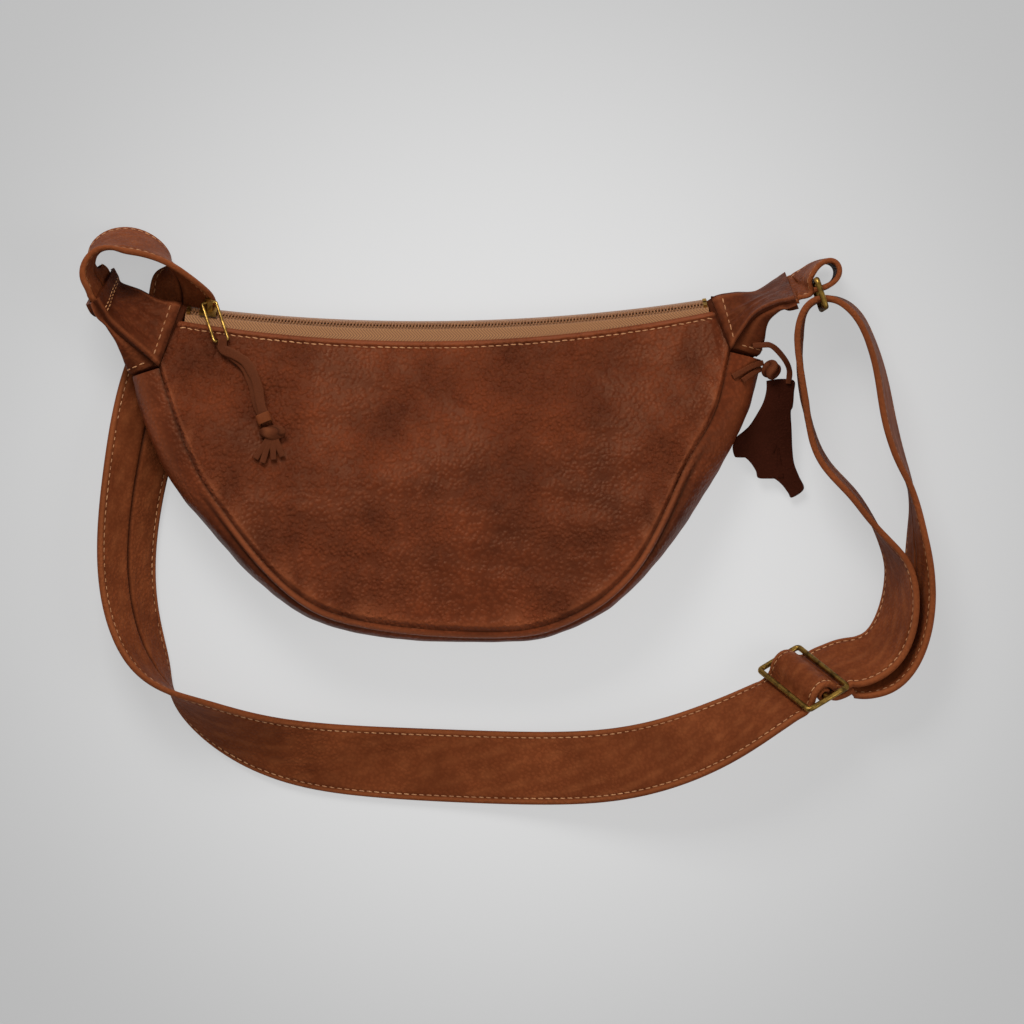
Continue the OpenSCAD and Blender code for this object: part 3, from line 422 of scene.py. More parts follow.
# Tumbled cowhide of the body: a fine pebble, satin, so that light catches on it in broad soft patches
body_leather = leather("cowhide_tumbled_cognac", "#421b0e", "#79371c", "#985231", 2.3, 1.15, 0.35, 0.75, 0.24)
# The same cowhide on the roll: the grain is drawn flat over it and only shows as a soft orange peel
roll_leather = leather("cowhide_rolled_cognac", "#421b0e", "#79371c", "#985231", 2.3, 0.5, 0.36, 0.75, 0.24)
# Cowhide pulled tight at the ends: smoother, as the grain is stretched out, and drawn darker than the body
cap_leather = leather("cowhide_stretched_cognac", "#3a190d", "#662f19", "#844628", 2.3, 0.45, 0.42, 0.7, 0.12)
# The strap is cut from a smoother part of the hide, turned and pressed flat: finer grain, less relief
strap_leather = leather("cowhide_pressed_cognac", "#582814", "#884626", "#a05c35", 1.9, 0.5, 0.50, 0.65, 0.07)
# Lace, thong and knots: strips cut through the hide, drier and rougher
lace_leather = leather("cowhide_lace_cut", "#4a2415", "#68351f", "#80482c", 0.9, 0.35, 0.55, 0.6)
# Tag: thick dark hide with an oily pull-up finish
tag_leather = leather("cowhide_dark_oiled", "#31130b", "#431c11", "#55281a", 1.4, 0.4, 0.6, 0.6)
# Keeper: a band of undyed vegetable-tanned leather, orange tan and clean
keeper_leather = leather("cowhide_vegetable_tanned", "#5f2e18", "#7a3f22", "#935430", 0.9, 0.25, 0.5, 0.4)
zip_cloth = woven_tape("polyester_tape_herringbone")
thread = twisted_thread("polyester_thread_waxed")
brass = aged_brass("brass_cast_antique", "#c39a4e", "#6d5126", 0.3)
frame_brass = aged_brass("brass_wire_darkened", "#a8843f", "#4f3a1c", 0.33)
teeth = moulded_teeth("acetal_teeth_moulded")
lining_cotton = cotton_lining("cotton_plain_woven")


def dress(piece, material):
    """One material all over a piece."""
    piece.data.materials.clear()
    piece.data.materials.append(material)


def finish_piece(piece, body, material, slot, *nodes):
    """Puts a piece on its body with its material and hides the solids it stands for; slot is not used."""
    dress(piece, material)
    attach(piece, body)
    if nodes:
        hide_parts(*nodes)


def sew(name, path, normals, slot, *sizes):
    """A row of stitches along a path on the bag."""
    finish_piece(stitch_row(name, path, normals, *sizes), "bag", thread, slot)


# ---------------------------------------------------------------- the bag's body
def below_zip(p):
    """How far a place lies below the curve that the zip hangs in."""
    return np.linalg.norm(p[..., :2] - zip_c, axis=-1) - zip_r


def front_height(p):
    """The front rises from the lip to the belly as a quarter of a sine wave."""
    return lip_z + belly_rise * np.sin(np.pi / 2 * np.clip(below_zip(p) / (0.94 * bag_h), 0, 1))


def back_height(p):
    """The back lies on the table, curls up along the zip, and is lifted at the left by the strap."""
    lifted = ease((p[..., 0] / lay_x + 0.235) / (-0.292 + 0.235))
    curl = (1 - np.clip(below_zip(p) / (0.07 * bag_h), 0, 1)) ** 2
    return 6.2 * lifted + 6 * curl * (1 - lifted)


edge_run = np.linspace(0, 1, 601)
edge_table = relaxed(along(edge_shares, edge_run), 14) * [lay_x, lay_y, bag_d]


def sewn_edge(s):
    """The front panel's seam: place, outward direction and the gusset's swell at the shares s."""
    slope = np.gradient(edge_table[:, :2], axis=0)
    p, ahead = (np.stack([np.interp(s, edge_run, c) for c in t.T], -1) for t in (edge_table[:, :2], slope))
    ahead = unit(ahead)
    return p, np.stack([ahead[..., 1], -ahead[..., 0]], -1), np.interp(s, edge_run, edge_table[:, 2])


def lip_line(s, gap_mid, gap_end):
    """The line along the zip at a gap from its middle curve that narrows towards both ends."""
    start, end = -0.335, 0.203
    x = lay_x * mix(start, end, s)
    across = (x - zip_c[0]) / ((end - start) * lay_x / 2)
    gap = gap_mid - (gap_mid - gap_end) * across ** 2
    return np.stack([x, zip_c[1] - np.sqrt((zip_r + gap) ** 2 - (x - zip_c[0]) ** 2)], -1)


def panel_swells(p):
    """Soft hollows and swells that handling left in the front: each a bell with its own place, height, two
    reaches and turn, in mm and degrees."""
    total = 0
    for x, y, height, long, wide, turn in ((-171, 73, -1.7, 9, 8, 0), (-128, 63, -1.7, 10, 8, 60),
            (-151, 34, 1.2, 11, 8, -30), (-112, 42, -1.5, 9, 9, 0), (80, 44, 1.9, 30, 9, 38),
            (99, 20, -1.4, 14, 9, 40), (52, 74, -1.2, 26, 10, 15), (-60, 20, 1.0, 40, 16, 10),
            (20, -22, -1.0, 40, 12, -8)):
        c, q = np.cos(np.radians(turn)), np.sin(np.radians(turn))
        u, v = p[..., 0] - x, p[..., 1] - y
        total = total + height * np.exp(-((u * c + v * q) / long) ** 2 - ((v * c - u * q) / wide) ** 2)
    return total


def front_leather():
    """The front panel: straight lines from the lip to the seam, lifted to the front's height. The lip is
    turned under in a small round, a stitch line presses in 3.6 mm below it, and all borders dip into their
    seams."""
    s, v = close_at_ends(260, 0.7), close_at_ends(150, 0.82)
    top, low = lip_line(s, lip_gap, lip_gap_end), sewn_edge(s)[0]
    p = mix(top[:, None], low[:, None], v[None, :, None])
    run = np.linalg.norm(low - top, axis=-1)[:, None]
    from_lip, from_seam = v[None] * run, (1 - v)[None] * run
    from_side = np.minimum(s, 1 - s)[:, None] * mix(285.0, 60.0, v[None] ** 0.5)
    z = front_height(p) + panel_swells(p)
    z -= 1.1 * (1 - ease(from_lip / 1.7)) + 0.45 * hump(from_lip - lip_stitch, 0.8)
    z += 0.5 * hump(from_lip - 1.9, 1.0)
    z -= 1.7 * (1 - ease(from_seam / 3.0)) - 0.5 * hump(from_seam - 4, 2.5)
    z -= 1.3 * (1 - ease(from_side / 3.0))
    inner = ease(from_seam / 25) * ease(from_lip / 18) * ease(from_side / 20)
    z += inner * (0.55 * ripple(p, 60, 3) + 0.35 * ripple(p * [1, 2.4], 34, 5))
    tucks = hump(from_seam - 5, 6) * ripple_along(s * 300, 13, 11)[:, None]
    z += 0.28 * tucks
    wear = np.clip(0.55 * hump(from_lip - 1.2, 1.1) + 0.3 * hump(from_seam - 3.2, 1.6) + 0.25 * tucks, 0, 1)
    # Painted shade: darker along the seam, the side borders and the stitch line below the lip.
    crease_shade = np.clip(0.6 * hump(from_seam, 0.7) + 0.5 * hump(from_side, 0.7)
        + 0.3 * hump(from_lip - lip_stitch, 0.5), 0, 1)
    outer = raised(p, z)
    normals = grid_normals(outer)
    normals *= np.sign(normals[..., 2:])
    seam = np.arange(len(s)), np.argmin(np.abs(from_lip - lip_stitch), 1)
    return outer, {"wear": wear, "crease_shade": crease_shade}, outer[seam] + [0, 0, 0.1], normals[seam]


face, marks, lip_seam, lip_normals = front_leather()
finish_piece(shell("front_panel_leather", face, face - up * leather_t, marks), "bag", body_leather, "leather",
    "front_panel")
sew("zip_edge_stitches", lip_seam, lip_normals, "leather", 3.9)


def back_leather():
    """The back panel: the same straight lines laid on the table, curling up to the zip."""
    s, v = close_at_ends(160, 0.6), np.linspace(0, 1, 70) ** 1.6
    p = mix(lip_line(s, back_gap, back_gap)[:, None], sewn_edge(s)[0][:, None], v[None, :, None])
    under = raised(p, back_height(p))
    from_zip, from_seam = (np.broadcast_to(q * 150, p.shape[:2]) for q in (v, 1 - v))
    # Paler wear along the zip, and painted shade along the seam.
    return under, {"wear": 0.4 * hump(from_zip, 1.5), "crease_shade": 0.7 * hump(from_seam, 1.0)}


under, marks = back_leather()
finish_piece(shell("back_panel_leather", under + up * leather_t, under, marks), "bag", body_leather, "leather",
    "back_panel")


def lining(front):
    """The lining cloth follows its panel just inside it and stops 6 mm short of the edges."""
    s, v = np.linspace(0.004, 0.996, 90), np.linspace(0, 1, 50)
    top = lip_line(s, lip_gap, lip_gap_end) if front else lip_line(s, back_gap, back_gap)
    low, out, _ = sewn_edge(s)
    inset = np.array([0, 6.0 if front else 0.07 * bag_h])
    p = mix((top - inset)[:, None], (low - out * 6)[:, None], v[None, :, None])
    z = front_height(p) - leather_t - 0.3 if front else back_height(p) + leather_t + 0.85 + lining_t
    z = z + 0.12 * ripple(p, 22, 9)
    face = raised(p, z)
    return face, face - up * lining_t


for side, front in (("lining_front", True), ("lining_back", False)):
    face, reverse = lining(front)
    finish_piece(shell(side + "_cotton", face, reverse), "bag", lining_cotton, "lining", side)


def gusset_leather(thick):
    """The gusset: half an ellipse swelling out between the two sewn edges, pressed in along one fold so
    that a narrow roll stands beside the front seam and a broader one outside it. The fold dies out
    towards both upper ends. Painted shade darkens it and both seams. thick sets the whole face that far inwards."""
    s, a = close_at_ends(320, 0.5), np.linspace(np.pi / 2, -np.pi / 2, 72)[None]
    p, out, swell = sewn_edge(s)
    high = front_height(p) - leather_t - seam_gap
    low = back_height(p) + leather_t + seam_gap
    mid, half = (high + low)[:, None] / 2, (high - low)[:, None] / 2
    swell = swell[:, None]
    split = (ease((s - 0.13) / 0.10) * ease((0.90 - s) / 0.08))[:, None]
    at = np.arccos(np.clip(4.6 / swell, 0.2, 0.74))
    dent = hump(a - at, 0.13) * split
    roll = hump(a - (at + np.pi / 2) / 2, 0.30) * split
    second = hump(a - (at - 0.42), 0.30) * split
    back_roll = hump(a + 1.18, 0.16) - 0.7 * hump(a + 0.98, 0.09)
    pucker = ripple_along(s * 620, 15, 21)[:, None] * np.cos(a) ** 2
    sag = ripple_along(s * 620, 70, 22)[:, None]
    push = (-2.1 * dent + 1.15 * roll + 0.5 * second + 0.6 * back_roll + 0.22 * pucker + 0.35 * sag * np.cos(a)
        - thick)
    reach = swell * np.cos(a) + push * np.cos(a)
    lift = half * np.sin(a) + push * np.sin(a) * 0.85
    skin = raised(p[:, None] + out[:, None] * reach[..., None], mid + lift)
    wear = np.clip(0.75 * roll * hump(a - (at + 0.35), 0.25) + 0.3 * hump(a - 0.75, 0.3) * (1 - split), 0, 1)
    # Painted shade in the pressed fold and along both seams.
    crease_shade = np.clip(0.85 * hump(a - at, 0.07) * split + 0.7 * hump(a - np.pi / 2, 0.05)
        + 0.6 * hump(a + np.pi / 2, 0.05), 0, 1)
    return skin, {"wear": wear, "crease_shade": crease_shade}


skin, marks = gusset_leather(0)
within, _ = gusset_leather(leather_t)
finish_piece(shell("gusset_leather", skin, within, marks), "bag", roll_leather, "leather", "gusset")


# ---------------------------------------------------------------- caps
def cap_place(p):
    """Places on a cap: shares of the lay in x and y, and of the cap's depth in height."""
    return np.asarray(p, float) * [lay_x, lay_y, cap_d]


# The two caps. Each has the way it faces, the thickness of the band in its mouth, the end of the panel's seam
# that it starts from, and three edges out to the mouth: along the zip, along the ridge, and at the back
caps = {
    "left": dict(side=-1, stack=strap_t, seam=0,
        top=cap_place([[-0.332, 0.211, 0.46], [-0.354, 0.215, 0.41], [-0.374, 0.225, 0.26],
            [-0.3935, 0.2325, 0.06], [-0.3972, 0.2398, 0.08], [-0.401, 0.247, 0.10]]),
        ridge=cap_place([[-0.3541, 0.1452, 0.725], [-0.369, 0.160, 0.79], [-0.385, 0.175, 0.87],
            [-0.4005, 0.190, 0.91], [-0.407, 0.2005, 0.955], [-0.4135, 0.211, 1]]),
        back=cap_place([[-0.3541, 0.1452, 0.15], [-0.367, 0.158, 0.17], [-0.386, 0.176, 0.25],
            [-0.408, 0.192, 0.52]])),
    "right": dict(side=1, stack=tab_t, seam=1,
        top=cap_place([[0.200, 0.217, 0.46], [0.223, 0.222, 0.41], [0.245, 0.224, 0.28],
            [0.265, 0.236, 0.11], [0.2703, 0.2398, 0.095], [0.2755, 0.2435, 0.08]]),
        ridge=cap_place([[0.2196, 0.162, 0.7], [0.229, 0.179, 0.77], [0.243, 0.199, 0.86],
            [0.263, 0.209, 0.95], [0.2725, 0.211, 0.975], [0.282, 0.213, 1]]),
        back=cap_place([[0.2196, 0.162, 0.01], [0.236, 0.179, 0.07], [0.253, 0.1945, 0.24],
            [0.270, 0.201, 0.62]]))}
mouth_gap, cap_l = 0.3, 40
turning_w, turning_t, turning_behind = 6.0, 1.2, 1.9
panel_face = unit(np.array([0, 0.5, 0.86]))
for cap in caps.values():
    run = (cap["ridge"][-1] - cap["ridge"][-2]) + (cap["top"][-1] - cap["top"][-2])
    cap["face"] = cap["side"] * unit(np.cross(cap["ridge"][-1] - cap["top"][-1], run))
    cap["out"] = np.append(sewn_edge(np.array([float(cap["seam"])]))[1][0], 0)


def stack_depth(t):
    """Depth of a mouth: two leathers and what is sewn between them."""
    return 2 * leather_t + t + 2 * mouth_gap


def turned(s):
    """How far a cap has turned into its flat mouth."""
    return np.minimum(s / 0.6, 1)[..., None]


def facing(d, s):
    """A cap's outward direction between its panel end and its mouth."""
    return unit(mix(np.asarray(d[0], float), np.asarray(d[1], float), turned(s)))


def back_line(cap, s):
    """The cap's edge at the back: its own places first, then the ridge less the depth of the mouth."""
    tail = cap["ridge"][len(cap["back"]):] - cap["face"] * stack_depth(cap["stack"])
    return along(np.vstack([cap["back"], tail]), s)


def cap_patch(node, s, v, a, b, da, db, swell, fold, wrinkle, seed):
    """A sewn patch between lines a and b that swells out between them by a half sine, with soft folds that
    run along it and die out at the mouth."""
    d = unit(mix(facing(da, s)[:, None], facing(db, s)[:, None], v[None, :, None]))
    bulge = mix(swell[0], swell[1], s)[:, None] * np.sin(np.pi * v)[None]
    flat = mix(a[:, None], b[:, None], v[None, :, None])
    edge_in = np.minimum(v, 1 - v)[None] * np.linalg.norm(b - a, axis=-1)[:, None]
    start_in = s[:, None] * cap_l
    folds = fold * np.sin(np.pi * v)[None] * ripple_along(v * 42, 12, seed)[None] * (1 - ease(s / 0.9))[:, None]
    bumps = wrinkle * ripple(flat, 16, seed + 1) * ease(edge_in / 6) * ease(start_in / 5)
    seam = -1.0 * (1 - ease(edge_in / 2.2)) - 1.0 * (1 - ease(start_in / 2.6)) + 0.4 * hump(start_in - 4, 2)
    push = (bulge + folds + bumps + seam)[..., None]
    outer = flat + d * push
    inner = flat + d * (push - leather_t)
    # Painted shade: darker along the patch's sewn edges and along its start.
    crease_shade = np.clip(0.55 * hump(edge_in, 0.7) + 0.55 * hump(start_in, 0.7), 0, 1)
    wear = np.clip(0.5 * hump(edge_in - 2.2, 1.2) + 0.35 * hump(start_in - 3, 1.4) + 0.2 * ripple(flat, 9, seed + 2)
        * ease(edge_in / 6), 0, 1)
    finish_piece(shell(node + "_leather", outer, inner, {"wear": wear, "crease_shade": crease_shade}), "bag", cap_leather,
        "leather", node)
    return outer, d


cap_skins = {}
for word, cap in caps.items():
    s, v = np.linspace(0, 1, 70), close_at_ends(64, 0.6)
    top, ridge = along(cap["top"], s), along(cap["ridge"], s)
    face, out, across = cap["face"], cap["out"], unit(cap["ridge"][-1] - cap["top"][-1])
    node = f"cap_{word}_"
    cap_skins[word, "front"] = cap_patch(node + "front", s, v, top, ridge, [panel_face, face], [up, face],
        [0.4, 0], 0.9, 0.35, 31 + cap["seam"])
    share = turned(s)
    depth = mix(2.75 * leather_t, leather_t + mouth_gap, share)
    low = back_line(cap, s)
    cap_skins[word, "side"] = cap_patch(node + "side", s, v, ridge - facing([up, face], s) * depth,
        low - facing([-up, -face], s) * depth, [out, across], [out, across], [0.36 * cap_d, 0.03 * cap_d], 0.5,
        0.3, 41 + cap["seam"])
    behind = top - facing([panel_face, face], s) * mix(stack_depth(0), stack_depth(cap["stack"]), share ** 2)
    cap_patch(node + "back", s, v, low, behind, [-up, -face], [-panel_face, -face], [0, 0], 0, 0.1,
        51 + cap["seam"])


def seam_turning(outer, d):
    """Places of a seam's turned allowance, a strip that lies behind the start of a patch and closes it."""
    at = np.unique(np.append(np.arange(0, outer.shape[1], 5), outer.shape[1] - 1))
    ahead = unit(outer[4, at] - outer[0, at])
    mid = outer[0, at] - d[0, at] * turning_behind
    return np.column_stack([mid, ahead, np.full(len(at), turning_t)])


def read_grid(grid, at):
    """A grid read between its rows and columns, at places given as row and column."""
    i, j = np.floor(at).astype(int).T
    f, g = (at % 1).T[..., None]
    return (grid[i, j] * (1 - f) * (1 - g) + grid[i + 1, j] * f * (1 - g) + grid[i, j + 1] * (1 - f) * g
        + grid[i + 1, j + 1] * f * g)


def cap_stitches(name, outer, d, rows):
    """Stitch rows on a cap's patch: each a straight run between two places of its face, given as row and
    column shares of the patch."""
    for k, (a, b) in enumerate(rows):
        at = mix(np.array(a), np.array(b), np.linspace(0, 1, 60)[:, None]) * np.subtract(outer.shape[:2], 1)
        sew(f"{name}_{k + 1}", read_grid(outer, at), read_grid(d, at), "leather", stitch_pitch, 0.8, 0.1)


panel_row = (0.10, 0.05), (0.10, 0.95)
mouth_rows = ((0.74, 0.06), (0.74, 0.94)), ((0.80, 0.06), (0.80, 0.94))
cap_stitches("cap_left_stitches", *cap_skins["left", "front"], (panel_row, *mouth_rows))
cap_stitches("cap_right_stitches", *cap_skins["right", "front"], (panel_row,))
for word in caps:
    cap_stitches(f"cap_{word}_side_stitches", *cap_skins[word, "side"], (((0.11, 0.07), (0.11, 0.75)),))


# ---------------------------------------------------------------- strap, tab and lace
def rest_height(bank, t):
    """Height of a band's middle when its lowest edge is on the table."""
    return strap_w / 2 * np.abs(np.sin(bank)) + t / 2 * np.abs(np.cos(bank))


def band_places(shares, t):
    """Places of a band: middle, direction of its width, and thickness, from x and y shares, lift and bank."""
    p = np.asarray(shares, float)
    flat = p[:, :2] * [lay_x, lay_y]
    bank = np.radians(p[:, 3])[:, None]
    w = sideways(heading(flat)) * np.cos(bank) + up * np.sin(bank)
    z = rest_height(bank[:, 0], t) + p[:, 2] * strap_w
    return np.column_stack([flat, z, w, np.full(len(p), t)])


def mouth_places(cap, t, runs):
    """Places where a band sits in a cap's mouth, at runs along its way out."""
    a, b = cap["top"][-1], cap["ridge"][-1]
    w = unit(b - a)
    mid = (a + b) / 2 - cap["face"] * (leather_t + mouth_gap + t / 2)
    ahead = np.cross(cap["face"], w) * cap["side"]
    return np.array([np.concatenate([mid + ahead * d, w, [t]]) for d in runs])


strap_a_shares = [[-0.4215, 0.2385, 0.15, -285], [-0.4235, 0.2475, 0.155, -276], [-0.4215, 0.259, 0.14, -263],
    [-0.409, 0.2705, 0.09, -250], [-0.390, 0.2745, 0.05, -246], [-0.368, 0.270, 0.02, -250],
    [-0.349, 0.256, 0.01, -260], [-0.337, 0.242, 0.01, -278], [-0.331, 0.229, 0, -316],
    [-0.331, 0.211, 0.01, -355], [-0.337, 0.186, 0.01, -360], [-0.352, 0.152, 0.01, -363],
    [-0.366, 0.110, 0.01, -373], [-0.376, 0.060, 0.02, -391], [-0.385, 0.010, 0.03, -397],
    [-0.390, -0.040, 0.03, -401], [-0.388, -0.088, 0.03, -405], [-0.376, -0.130, 0.03, -412],
    [-0.362, -0.157, 0.04, -424], [-0.350, -0.175, 0.04, -446], [-0.331, -0.191, 0.03, -466],
    [-0.307, -0.207, 0.03, -482], [-0.267, -0.230, 0.02, -498], [-0.212, -0.246, 0.02, -516],
    [-0.150, -0.252, 0.01, -529], [-0.062, -0.256, 0.02, -539], [0.030, -0.2595, 0.14, -541],
    [0.088, -0.257, 0.28, -548], [0.130, -0.2495, 0.41, -556], [0.167, -0.2385, 0.51, -563],
    [0.199, -0.225, 0.57, -570], [0.2245, -0.2125, 0.585, -577], [0.246, -0.200, 0.56, -584]]
strap_b_shares = [[0.3385, -0.1515, 0.095, -590], [0.354, -0.149, 0.085, -590], [0.369, -0.143, 0.08, -591],
    [0.384, -0.1255, 0.08, -596], [0.393, -0.090, 0.06, -603], [0.3915, -0.058, 0.04, -611],
    [0.384, -0.043, 0.03, -620], [0.371, -0.023, 0.03, -630], [0.360, -0.006, 0.03, -636],
    [0.348, 0.012, 0.04, -637], [0.336, 0.026, 0.05, -637], [0.319, 0.041, 0.06, -637], [0.308, 0.057, 0.07, -637],
    [0.302, 0.074, 0.08, -636], [0.297, 0.094, 0.09, -633], [0.2935, 0.114, 0.09, -631],
    [0.290, 0.134, 0.10, -631], [0.2885, 0.152, 0.11, -633], [0.2875, 0.170, 0.12, -636],
    [0.2885, 0.187, 0.13, -636], [0.292, 0.201, 0.13, -633], [0.299, 0.210, 0.13, -631],
    [0.308, 0.214, 0.13, -630], [0.322, 0.215, 0.13, -627], [0.338, 0.208, 0.12, -622], [0.350, 0.195, 0.12, -622],
    [0.358, 0.178, 0.10, -623], [0.366, 0.156, 0.09, -622], [0.372, 0.132, 0.07, -620], [0.375, 0.112, 0.05, -619],
    [0.3805, 0.082, 0.04, -618], [0.390, 0.052, 0.03, -621], [0.3975, 0.037, 0.02, -624],
    [0.403, 0.020, 0.02, -628], [0.406, 0.002, 0.02, -631], [0.407, -0.018, 0.02, -638],
    [0.409, -0.040, 0.02, -644], [0.410, -0.063, 0.02, -649], [0.408, -0.092, 0.02, -656],
    [0.400, -0.124, 0.02, -663], [0.386, -0.149, 0.02, -669], [0.3725, -0.1605, 0.02, -672],
    [0.357, -0.1625, 0.02, -672], [0.3425, -0.160, 0.03, -672]]
tab_shares = [[0.291, 0.2268, 0.105, -252], [0.2945, 0.2385, 0.125, -262], [0.3065, 0.251, 0.13, -267],
    [0.3205, 0.254, 0.13, -269], [0.3285, 0.246, 0.13, -270], [0.328, 0.234, 0.13, -270],
    [0.319, 0.2255, 0.13, -270], [0.309, 0.2235, 0.13, -271], [0.301, 0.2225, 0.13, -273]]

# The adjuster's place and attitude
adjuster_at = np.array([0.292 * lay_x, -0.166 * lay_y, 31.5])
yaw, pitch, bank = np.radians([30, -20, -588])
level = np.array([-np.sin(yaw), np.cos(yaw), 0])
adjuster_x = np.array([np.cos(pitch) * np.cos(yaw), np.cos(pitch) * np.sin(yaw), np.sin(pitch)])
adjuster_w = level * np.cos(bank) + np.cross(adjuster_x, level) * np.sin(bank)
adjuster_v = -np.cross(adjuster_x, adjuster_w)
bar_d, bar_gap, bar_step = 3.0, 0.3, 13.0
under_bar = bar_d / 2 + 1.05 + strap_t / 2
loop_r = bar_d / 2 + bar_gap + strap_end_t / 2
over_bar = loop_r + strap_end_t / 2 + bar_gap + strap_t / 2
under_strap = under_bar + strap_t + 2 * bar_gap


def by_adjuster(x, v, t):
    """A place beside the adjuster, x along the strap and v across its layers."""
    return np.concatenate([adjuster_at + adjuster_x * x + adjuster_v * v, adjuster_w, [t]])


through = np.array([by_adjuster(a * bar_step, b * under_bar + c * over_bar, strap_t) for a, b, c in
    ((-1.5, -1.1, 0), (-1, -1.1, 0), (-0.66, -0.5, 0), (-0.38, 0, 0.62), (0, 0, 1),
     (0.38, 0, 0.62), (0.66, -0.45, 0), (1, -1.03, 0), (1.55, -1.15, 0))])
round_bar = np.radians(np.arange(260, 19, -30))
sewn_end = np.array([by_adjuster(a * bar_step, b * under_strap, mix(strap_end_t, strap_t, c)) for a, b, c in
    ((1.6, -1.1, 1), (1.05, -1.08, 1), (0.55, -0.9, 0.5), (0.2, -0.4745, 0))]
    + [by_adjuster(loop_r * np.cos(a), loop_r * np.sin(a), strap_end_t) for a in round_bar])
strap_route = np.vstack([mouth_places(caps["left"], strap_t, (-2.2, 0, 3)), band_places(strap_a_shares, strap_t),
    through, band_places(strap_b_shares, strap_t), sewn_end])
tab_route = np.vstack([mouth_places(caps["right"], tab_t, (-2.2, 0, 2)), band_places(tab_shares, tab_t)])


def band_frames(route, steps, free=()):
    """A band's places read closely along its route: middle, width, face and thickness. Its free stretches,
    given as pairs of places, are evened out."""
    q = along(route, np.linspace(0, 1, (len(route) - 1) * steps + 1))
    smooth = relaxed(q, steps * 0.75)
    at = np.arange(len(q)) / steps
    for a, b in free:
        share = (ease((at - a) / 1.5) * ease((b - at) / 1.5))[:, None]
        q = mix(q, smooth, share)
    mid, t = q[:, :3], q[:, 6]
    d = unit(heading(mid))
    w = unit(q[:, 3:6] - d * (q[:, 3:6] * d).sum(-1, keepdims=True))
    return mid, w, np.cross(d, w), t


def strap_leather_body(route, steps, free, seam=True):
    """A turned and sewn band: a rounded section, its rims plump, pressed in along a stitch line 3.3 mm inside
    each edge on both faces, with the meeting of the turned edges as a groove down the middle of the back."""
    mid, w, n, t = at = band_frames(route, steps, free)
    half = strap_w / 2
    across = np.concatenate([np.linspace(-1, -0.72, 12), np.linspace(-0.68, 0.68, 25), np.linspace(0.72, 1, 12)])
    y = np.sign(across) * (1 - (1 - np.abs(across)) ** 1.25) * half
    inside = half - np.abs(y)
    rim_r = 1.9
    edge = np.sqrt(np.clip(1 - (1 - np.clip(inside / rim_r, 0, 1)) ** 2, 0, 1))
    press = 0.34 * hump(inside - strap_stitch, 0.75)
    fall = 0.10 * ease((inside - 4) / 6)
    groove = 0.75 * hump(y, 0.7) - 0.22 * hump(np.abs(y) - 2.4, 1.6)
    place = np.stack(np.broadcast_arrays(run_length(mid)[:, None], y[None] * 1.6), -1)
    waves = 0.16 * ripple(place, 26, 61) + 0.10 * ripple(place * [2.2, 0.6], 22, 62)
    quiet = ease(inside / 5)[None]
    body = (t[:, None] / 2) * edge[None]
    front = body - press - fall + waves * quiet
    back = body - press * 0.7 - (groove if seam else fall) * (t[:, None] / strap_t) - waves * quiet
    flat = mid[:, None] + w[:, None] * y[None, :, None]
    top, low = flat - n[:, None] * front[..., None], flat + n[:, None] * back[..., None]
    rings = np.concatenate([top, low[:, -2:0:-1]], 1)
    rim = np.clip(0.42 * hump(inside - 1.4, 1.3), 0, 1)[None] + 0.25 * np.clip(ripple(place, 14, 63), 0, 1) * quiet
    # Painted shade: darker in the pressed stitch lines and, on a sewn band, in the groove down the back's middle.
    line = 0.5 * hump(inside - strap_stitch, 0.5)
    under = np.clip(line * 0.8 + (0.95 * hump(y, 0.55) if seam else 0), 0, 1)
    rim, line, under = (np.broadcast_to(q, top.shape[:2]) for q in (rim, line, under))
    crease_shade = np.concatenate([line, under[:, -2:0:-1]], 1)
    wear = np.clip(np.concatenate([rim, rim[:, -2:0:-1]], 1), 0, 1)
    return rings, {"wear": wear, "crease_shade": crease_shade}, at


def band_stitches(name, mid, w, n, t, start, end):
    """Stitch rows along both edges, on both faces of a band."""
    for word, side in (("low", -1), ("high", 1)):
        for face, way in (("face", -1), ("back", 1)):
            line = mid + w * side * (strap_w / 2 - strap_stitch) + n * way * (t[:, None] / 2 - 0.30)
            cut = slice(start, len(line) - end)
            sew(f"{name}_stitches_{word}_{face}", line[cut], (n * way)[cut], "leather_strap")


to_adjuster = 3 + len(strap_a_shares)
from_adjuster = to_adjuster + len(through)
strap_free = ((3, to_adjuster), (from_adjuster, from_adjuster + len(strap_b_shares) - 1))
rings, marks, at = strap_leather_body(strap_route, 7, strap_free)
finish_piece(tube("strap_leather", rings, marks), "bag", strap_leather, "leather_strap", "strap")
band_stitches("strap", *at, 14, 75)
rings, marks, at = strap_leather_body(tab_route, 9, ((3, 11),), False)
finish_piece(tube("ring_tab_leather", rings, marks), "bag", strap_leather, "leather_strap", "ring_tab")
band_stitches("tab", *at, 22, 12)


def strip_rings(route, steps, width, uneven, seed):
    """A cut strip of leather: a soft rounded section that wavers a little in width and thickness."""
    mid, w, n, t = band_frames(route, steps)
    a = circle(24)
    wide, thick = blunt(np.cos(a), 0.55), blunt(np.sin(a), 0.7)
    waver = 1 + uneven * ripple_along(np.arange(len(mid)) * 1.0, 9, seed)
    rings = (mid[:, None] + w[:, None] * (wide[None] * width / 2 * waver[:, None])[..., None]
        + n[:, None] * (thick[None] * t[:, None] / 2)[..., None])
    wear = np.broadcast_to(np.clip(0.45 * np.abs(wide) ** 8, 0, 1), rings.shape[:2])
    return rings, {"wear": wear, "crease_shade": wear * 0}


def cut_strip(name, body, route, steps, width, uneven, seed, *nodes):
    """A strip of lace leather along a route, on its body."""
    rings, marks = strip_rings(route, steps, width, uneven, seed)
    finish_piece(tube(name, rings, marks), body, lace_leather, "leather_strap", *nodes)


